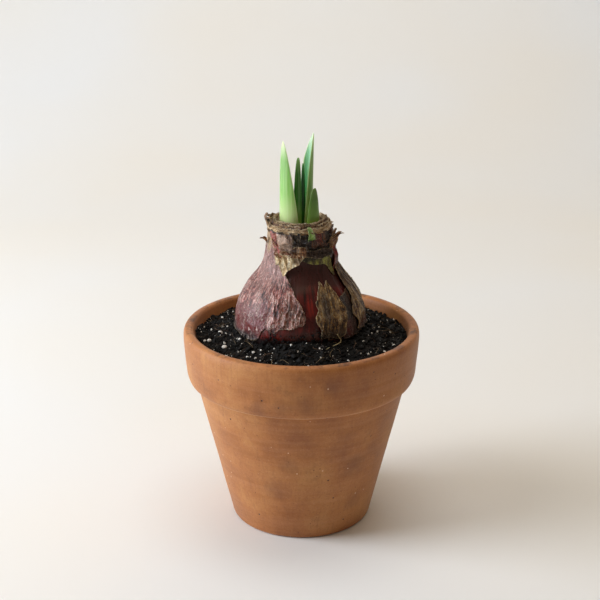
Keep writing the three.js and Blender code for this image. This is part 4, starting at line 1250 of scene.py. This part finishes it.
    def collars(self):
        """Old leaf bases end here, one inside the next, dried and torn."""
        # The inner tint of the dried sheath ends is painted shade between the crowded edges.
        tan = papery(
            "dried_sheath_end", ["#4A2E1A", "#B48858", "#F4D4A2", "#FFF4D8"], "#F8ECCE", vein=0.8, roughness=0.6,
            blotch=3.5, fine=1.5, tints=[("inner", "#301C10", 0.8)])
        umber = papery(
            "weathered_sheath_end", ["#1A0F0A", "#4C3020", "#8C6444", "#C49A68"], "#D0B080", vein=0.9,
            roughness=0.6, blotch=4, fine=1.3, tints=[("inner", "#160D0A", 0.95)])
        self.terrace(tan)
        left_shards = [(-62, 5, 1.8), (-76, 5, 2.6), (-92, 6, 2.2), (-112, 8, 1.6), (-48, 4, 1.0)]
        rings = (
            ("neck_sheath_1", tan, 18.9, 193.4, 197.2, 0.3, (), 0.8),
            ("neck_sheath_1", umber, 18.3, 192, 198.6, 0.2, left_shards, 0.9),
            ("neck_sheath_2", tan, 17.6, 194, 198.8, 0.6, (), 0.8),
            ("neck_sheath_3", umber, 16.6, 194, 199.2, 0.5, [(70, 25, 1.2)], 0.8),
            ("neck_sheath_3", tan, 15.9, 194, 199.4, 0.5, (), 0.7),
            ("neck_sheath_4", tan, 14.9, 194, 199.6, 0.3, [(160, 40, 1.4)], 0.8))
        stood = set()
        for k, (node, material, radius, foot, top, lean, spikes, tear) in enumerate(rings):
            piece = ragged_collar(
                f"{node}_end_{k + 1}", material, radius=radius, foot=foot, top=top, lean=lean, seed=2 * k + 1,
                spikes=spikes, wave=0.5, tear=tear)
            seat(piece, "cream_skin", *([] if node in stood else [node]))
            stood.add(node)

    def terrace(self, material):
        """The cut top of the neck: the crowded edges of many thin sheaths, stepping down outwards."""
        fall = [(0, 195.0), (10.5, 195.6), (12.6, 197.8), (14.6, 198.4), (17, 197.7), (19.6, 196.4)]
        rim = [(20.0, 195.9), (20.2, 195.3), (20.3, 194.8), (20.2, 194.3), (19.9, 193.9), (19.3, 193.6), (18.4, 193.6)]
        reach = np.concatenate([np.linspace(0.4, 11, 26), np.linspace(11.1, 19.6, 92), [point[0] for point in rim]])
        drop = np.concatenate([through(fall, reach[:-len(rim)]), [point[1] for point in rim]])
        turn = np.linspace(0, 2 * math.pi, 440, endpoint=False)
        a, radius = np.meshgrid(turn, reach[::-1])
        z = np.broadcast_to(drop[::-1, None], a.shape)
        cx, cy = np.cos(a), np.sin(a)
        sheets = radius * 1.15 + 1.1 * rough(cx * 2.2, cy * 2.2, radius / 9, 3, 5)
        which = np.floor(sheets)
        crest = np.exp(-(((sheets - which - 0.5) / 0.17) ** 2))
        torn = 0.55 + 0.5 * rough(cx * 6 + which * 3.1, cy * 6, which * 1.7, 4, 12)
        inside = ramp(19.6, 18.6, radius)
        z = z + (crest * (0.35 + 1.1 * np.clip(torn, 0, 1.3)) - 0.35) * (0.25 + 0.75 * inside)
        z = z + 0.35 * rough(cx * 2.5, cy * 2.5, 0, 3, 21)
        radius = radius + 0.45 * rough(cx * 3, cy * 3, z / 6, 3, 15) * ramp(2, 12, radius)
        azimuth = np.degrees(a)
        # The inner field paints shade into the gaps between the sheath edges.
        fields = {"edge": crest * np.clip(torn, 0, 1), "inner": 0.75 * (1 - crest) * inside}
        piece = grid_object(
            "neck_sheath_crowd", around(azimuth, radius, z)[::-1], material, wraps=True, caps=(0, -1),
            fields={k: v[::-1] for k, v in fields.items()}, uv=(radius[::-1] * 2.5 - 2 * z[::-1], a[::-1] * 16))
        seat(piece, "cream_skin")

    def flakes(self):
        curl = papery(
            "dry_curl", ["#20110B", "#5A3320", "#985F38", "#CC9862"], "#E0BC88", vein=0.8, roughness=0.55,
            blotch=3, fine=1.3)
        wine = papery(
            "wine_red_flake", ["#2A0608", "#5C0C0E", "#8A1A16", "#A83A28"], "#A8583A", vein=1.0, roughness=0.35,
            blotch=4)
        green = papery(
            "green_shoot_tip", ["#5F8A34", "#7FAA48", "#9CC262", "#BAD88A"], "#C9DDA0", vein=1.2, roughness=0.4,
            blotch=5)
        pieces = (
            ("red_flake_sheet", wine, [(70, 23.6, 169), (71, 24.4, 175), (71, 23.4, 180), (68, 22.0, 184.5)], 6.5, 18,
             1, 0.4, "bulb_flesh", "red_flake_right"),
            ("curl_right_sheet", curl, [(68, 20.9, 184), (68, 22.2, 188), (67, 24.4, 191), (66, 27.4, 193.6)], 5.6,
             75, 2, 0.7, "brown_skin", "curl_right"),
            ("curl_left_sheet", curl, [(-74, 20.9, 185), (-75, 21.8, 187.5), (-74, 23.4, 188.8), (-70, 24.6, 188.6)],
             3.6, 120, 3, 0.8, "brown_skin", "curl_left"),
            ("green_tip_sheet", green, [(22, 20.4, 189.6), (21, 21.1, 192), (20, 20.9, 195), (17, 19.9, 198.4)], 5.2,
             10, 4, 0.6, "leaf_pale", "green_tip_front"))
        for name, material, spine, width, twist, seed, cup, slot, node in pieces:
            piece = loose_flake(
                name, material, spine=spine, width=width, twist=twist, seed=seed, cup=cup, thickness=0.35)
            seat(piece, slot, node)
        scraps = (
            ([(70, 22.4, 185), (69, 23.4, 188.5), (65, 25.2, 192.5), (60, 27.0, 196)], 4.6, 30),
            ([(62, 22.4, 186), (64, 24.6, 189), (70, 27.4, 191.4), (74, 29.6, 191.8)], 4.4, 60),
            ([(-92, 20.6, 198), (-84, 21.4, 199.6), (-74, 21.8, 200.8), (-64, 21.4, 201.8)], 3.6, 20),
            ([(-120, 20.6, 197), (-108, 21.4, 199.2), (-98, 21.8, 200.4), (-88, 21.4, 201.2)], 3.6, 40),
            ([(74, 22.6, 180), (76, 23.6, 183), (80, 24.6, 186), (86, 25.4, 188)], 3.0, 60),
            ([(-66, 21.4, 195), (-68, 22.0, 197.5), (-72, 22.4, 199.6), (-80, 22.2, 201)], 3.2, 50),
            ([(-84, 21.6, 195), (-88, 22.4, 198), (-92, 22.6, 200.4), (-95, 21.6, 202)], 3.6, -40),
            ([(52, 22.2, 178), (56, 23.4, 181), (60, 24.4, 184), (62, 24.2, 187)], 2.6, 70),
            ([(120, 21.8, 188), (124, 23.2, 191), (130, 24.6, 194), (134, 25.0, 197)], 4.0, 60),
            ([(-140, 21.6, 190), (-144, 22.8, 193), (-150, 24.2, 196), (-152, 24.4, 199)], 3.6, -60),
            ([(-34, 22.4, 182), (-38, 23.2, 184.5), (-43, 23.8, 187), (-50, 23.6, 190)], 2.4, 50))
        for k, (spine, width, twist) in enumerate(scraps):
            piece = loose_flake(f"neck_scrap_{k + 1}", curl, spine=[(a, d - 1.6, z) for a, d, z in spine], width=width,
                                twist=twist, seed=20 + k)
            seat(piece, "brown_skin")


# leaf_centre and leaf_inner are given darker greens than the other leaves: painted shade where the leaves around them
# shade them.
LEAVES = {
    "leaf_left": dict(
        axis=(-4, -1), radius=9.7, edges=(-116, 28), tip=-52, taper=0.62, slot="leaf_pale",
        outer=("#D4E2A0", "#80BA50", "#78B056", "#D2E2B0"), inner=("#C4DC96", "#7DB45C", "#7DB45C", "#D9E6BE")),
    "leaf_centre": dict(
        axis=(-2, -0.6), radius=4.7, edges=(-64, 36), tip=-12, lean=1.0, taper=0.36, slot="leaf_dark",
        outer=("#A5CE62", "#347A22", "#2C6A20", "#8DB468"), inner=("#7EA850", "#2F6A24", "#2F6A24", "#7FA060")),
    "leaf_inner": dict(
        axis=(1, 3), radius=3.2, edges=(-48, 48), tip=0, thick=1.1, taper=0.4, slot="leaf_dark",
        outer=("#4E8A30", "#164A1A", "#1C5224", "#3F7A3C"), inner=("#4E8A30", "#164A1A", "#1C5224", "#3F7A3C")),
    "leaf_right": dict(
        axis=(1.4, 0), radius=5.6, edges=(-8, 278), tip=86, reach=190, lean=1.2, thick=1.3, taper=0.45,
        slot="leaf_pale",
        outer=("#BFD67C", "#6FA045", "#7C9C58", "#C9DCA6"), inner=("#5E9A4A", "#4F9A5C", "#86BE98", "#CFE2C0")),
    "leaf_short": dict(
        axis=(4.6, -3), radius=7.4, edges=(-24, 90), tip=36, lean=-0.4, taper=0.46, slot="leaf_dark",
        outer=("#C3D860", "#6E9A34", "#4E7A26", "#6E8A48"), inner=("#A5C052", "#5A8A30", "#4E7A26", "#6E8A48")),
}


class AMARYLLIS_OT_leaves(Operator):
    """Grow the leaves out of the neck"""
    bl_idname = "amaryllis.leaves"
    bl_label = "Leaves"

    def execute(self, context):
        for name, shape in LEAVES.items():
            self.blade(name, **shape)
        return {"FINISHED"}

    def blade(self, name, axis, radius, edges, tip, slot, outer, inner, reach=360, lean=0.0, thick=1.5, taper=0.5):
        foot = THROAT_FLOOR + 0.5
        length = LEAF_TOP[name] - foot
        turn, v = np.meshgrid(np.linspace(0, 2 * math.pi, 56, endpoint=False), np.linspace(0, 1, 110))
        across = 0.5 - 0.5 * np.cos(turn)
        face = np.sin(turn)  # above 0 on the back of the leaf, below 0 on its inner face
        rise = v ** 0.9
        width = np.maximum((1 - rise) ** taper, 0.02)
        near = tip + (edges[0] - tip) * width
        far = np.minimum(tip + (edges[1] - tip) * width, reach)
        azimuth = near + (far - near) * across
        fullness = np.sqrt(np.clip(4 * across * (1 - across), 0, 1)) ** 0.6
        depth = thick * (1 - 0.62 * rise) * fullness * np.minimum(1, width * 4)
        ribs = 0.05 * np.sin(across * 46) * ramp(0, 0.15, across) * ramp(1, 0.85, across) * width
        distance = radius - thick / 2 + np.sign(face) * (depth / 2 + ribs)
        z = foot + length * rise
        points = around(azimuth, distance, z, axis[0] + lean * rise ** 1.5, axis[1])
        fields = {"up": rise, "across": np.abs(2 * across - 1), "within": np.where(face < 0, 1.0, 0.0)}
        arc = np.radians(azimuth - tip) * radius
        material = leaf_skin(f"{name}_blade", outer, inner)
        piece = grid_object(f"{name}_blade", points, material, wraps=True, caps=(0, -1), fields=fields, uv=(arc, z))
        seat(piece, slot, name)


class AMARYLLIS_OT_roots(Operator):
    """Lay the thin root on the soil, and finish the roots under the bulb"""
    bl_idname = "amaryllis.roots"
    bl_label = "Roots"

    def execute(self, context):
        pale = fibre("living_root", "#D8CDA6", "#A3946A")
        stations = [(32, 43.2, 135.8), (35.5, 43.4, 131.8), (33, 44.0, 130.0), (27, 45, 129.6), (22, 46.4, 129.4),
                    (17, 49, 127.6)]
        steps = np.linspace(0, len(stations) - 1, 70)
        azimuth, radius, z = (through(list(enumerate(column)), steps) for column in zip(*stations))
        path = around(azimuth, radius, z) + 0.0002 * np.stack([
            noise(steps * 2, 1, 0, 1), noise(steps * 2, 2, 0, 2), noise(steps * 2, 3, 0, 3)], -1)
        width = 0.32 * MM * (1 - 0.5 * steps / steps[-1])
        root = grid_object("surface_root_strand", rod_points(path, width), pale, wraps=True, caps=(0, -1))
        seat(root, "root", "surface_root")
        for name, buried in frame["nodes"].items():
            if name.startswith("root_"):
                buried.data.materials.clear()
                buried.data.materials.append(pale)
        return {"FINISHED"}


class AMARYLLIS_OT_stage(Operator):
    """Set the camera, the lights and a pale seamless backdrop"""
    bl_idname = "amaryllis.stage"
    bl_label = "Stage"

    def execute(self, context):
        settings = context.scene.amaryllis_stage
        self.camera(context.scene, settings)
        self.backdrop(settings)
        self.lights(context.scene, settings)
        return {"FINISHED"}

    def camera(self, scene, settings):
        data = bpy.data.cameras.new("camera")
        data.lens = settings.lens
        data.sensor_width = 36
        data.shift_x = -0.0022
        eye = bpy.data.objects.new("camera", data)
        eye.location = (0, -settings.distance, settings.height)
        eye.rotation_euler = (math.pi / 2 - settings.pitch, 0, 0)
        scene.collection.objects.link(eye)
        scene.camera = eye

    def backdrop(self, settings):
        """Painted paper that sweeps up behind the object."""
        bend, back, half, top = 0.9, 1.6, 3.2, 2.6
        arc = np.linspace(0, math.pi / 2, 24)
        y = np.concatenate([[-2.6], back - bend + bend * np.sin(arc), [back]])
        z = np.concatenate([[0], bend - bend * np.cos(arc), [top]])
        rows = np.stack([np.stack([np.full_like(y, x), y, z], -1) for x in (-half, half)], 1)
        material, tree, shader = blank("backdrop_paper")
        place = add(tree, "ShaderNodeTexCoord").outputs["Object"]
        tooth = add(tree, "ShaderNodeTexNoise", {"Vector": place, "Scale": 900, "Detail": 3})
        tone = add(tree, "ShaderNodeTexNoise", {"Vector": place, "Scale": 2.5, "Detail": 2})
        shade = add(tree, "ShaderNodeValToRGB", {"Fac": tone.outputs["Fac"]}, stops=[
            (0.3, srgb("#F1EEE7")), (0.7, settings.floor)])
        tree.links.new(shade.outputs[0], shader.inputs["Base Color"])
        relief = add(tree, "ShaderNodeBump", {"Height": tooth.outputs["Fac"], "Strength": 0.15, "Distance": 0.0004})
        tree.links.new(relief.outputs[0], shader.inputs["Normal"])
        shader.inputs["Roughness"].default_value = 0.9
        shader.inputs["Specular IOR Level"].default_value = 0.2
        grid_object("backdrop", rows, material)

    def lights(self, scene, settings):
        for name, place, aim, size, power, tint in (
                ("sun_through_window", (-1.1, -0.3, 1.25), (0, 0, 0.1), 0.8, settings.key * 0.5, "#FFFFFF"),
                ("window", (-1.45, -0.1, 0.5), (0, 0, 0.1), 0.9, settings.key * 1.85, "#ECF4FF"),
                ("ceiling", (0.2, 0.2, 1.9), (0.2, 0.2, 0), 2.4, settings.key * 0.78, "#FFE2BA"),
                ("backdrop_wash", (0.1, 0.2, 1.9), (0.6, 1.6, 0.5), 1.2, settings.key * 0.8, "#F0F7FF")):
            data = bpy.data.lights.new(name, "AREA")
            data.shape = "DISK"
            data.size = size
            data.energy = power
            data.color = srgb(tint)[:3]
            lamp = bpy.data.objects.new(name, data)
            lamp.location = place
            aim = np.array(aim) - np.array(place)
            lamp.rotation_euler = (
                math.atan2(math.hypot(aim[0], aim[1]), -aim[2]), 0, math.atan2(aim[1], aim[0]) - math.pi / 2)
            scene.collection.objects.link(lamp)
        world = bpy.data.worlds.new("studio")
        world.use_nodes = True
        world.node_tree.nodes["Background"].inputs["Color"].default_value = srgb("#FFF0DA")
        world.node_tree.nodes["Background"].inputs["Strength"].default_value = 0.15
        scene.world = world
        scene.view_settings.view_transform = "Standard"


class AMARYLLIS_PT_panel(Panel):
    """Lists the plant's pieces"""
    bl_idname = "AMARYLLIS_PT_panel"
    bl_label = "Potted Amaryllis Bulb"
    bl_space_type = "VIEW_3D"
    bl_region_type = "UI"
    bl_category = "Amaryllis"

    def draw(self, context):
        for group in ("amaryllis_pot", "amaryllis_soil", "amaryllis_stage"):
            box = self.layout.box()
            settings = getattr(context.scene, group)
            for name in settings.__annotations__:
                box.prop(settings, name)
        for operator in OPERATORS:
            self.layout.operator(operator.bl_idname)


GROUPS = {"amaryllis_pot": PotSettings, "amaryllis_soil": SoilSettings, "amaryllis_stage": StageSettings}
OPERATORS = (
    AMARYLLIS_OT_stage, AMARYLLIS_OT_pot, AMARYLLIS_OT_soil, AMARYLLIS_OT_litter, AMARYLLIS_OT_bulb,
    AMARYLLIS_OT_tunics, AMARYLLIS_OT_neck, AMARYLLIS_OT_leaves, AMARYLLIS_OT_roots)
CLASSES = (*GROUPS.values(), *OPERATORS, AMARYLLIS_PT_panel)


def register():
    for each in CLASSES:
        bpy.utils.register_class(each)
    for name, group in GROUPS.items():
        setattr(bpy.types.Scene, name, PointerProperty(type=group))


def unregister():
    for name in GROUPS:
        delattr(bpy.types.Scene, name)
    for each in reversed(CLASSES):
        bpy.utils.unregister_class(each)


def main():
    register()
    bpy.ops.amaryllis.stage()
    bpy.ops.amaryllis.pot()
    bpy.ops.amaryllis.soil()
    bpy.ops.amaryllis.litter()
    bpy.ops.amaryllis.bulb()
    bpy.ops.amaryllis.tunics()
    bpy.ops.amaryllis.neck()
    bpy.ops.amaryllis.leaves()
    bpy.ops.amaryllis.roots()


if __name__ == "__main__":
    main()
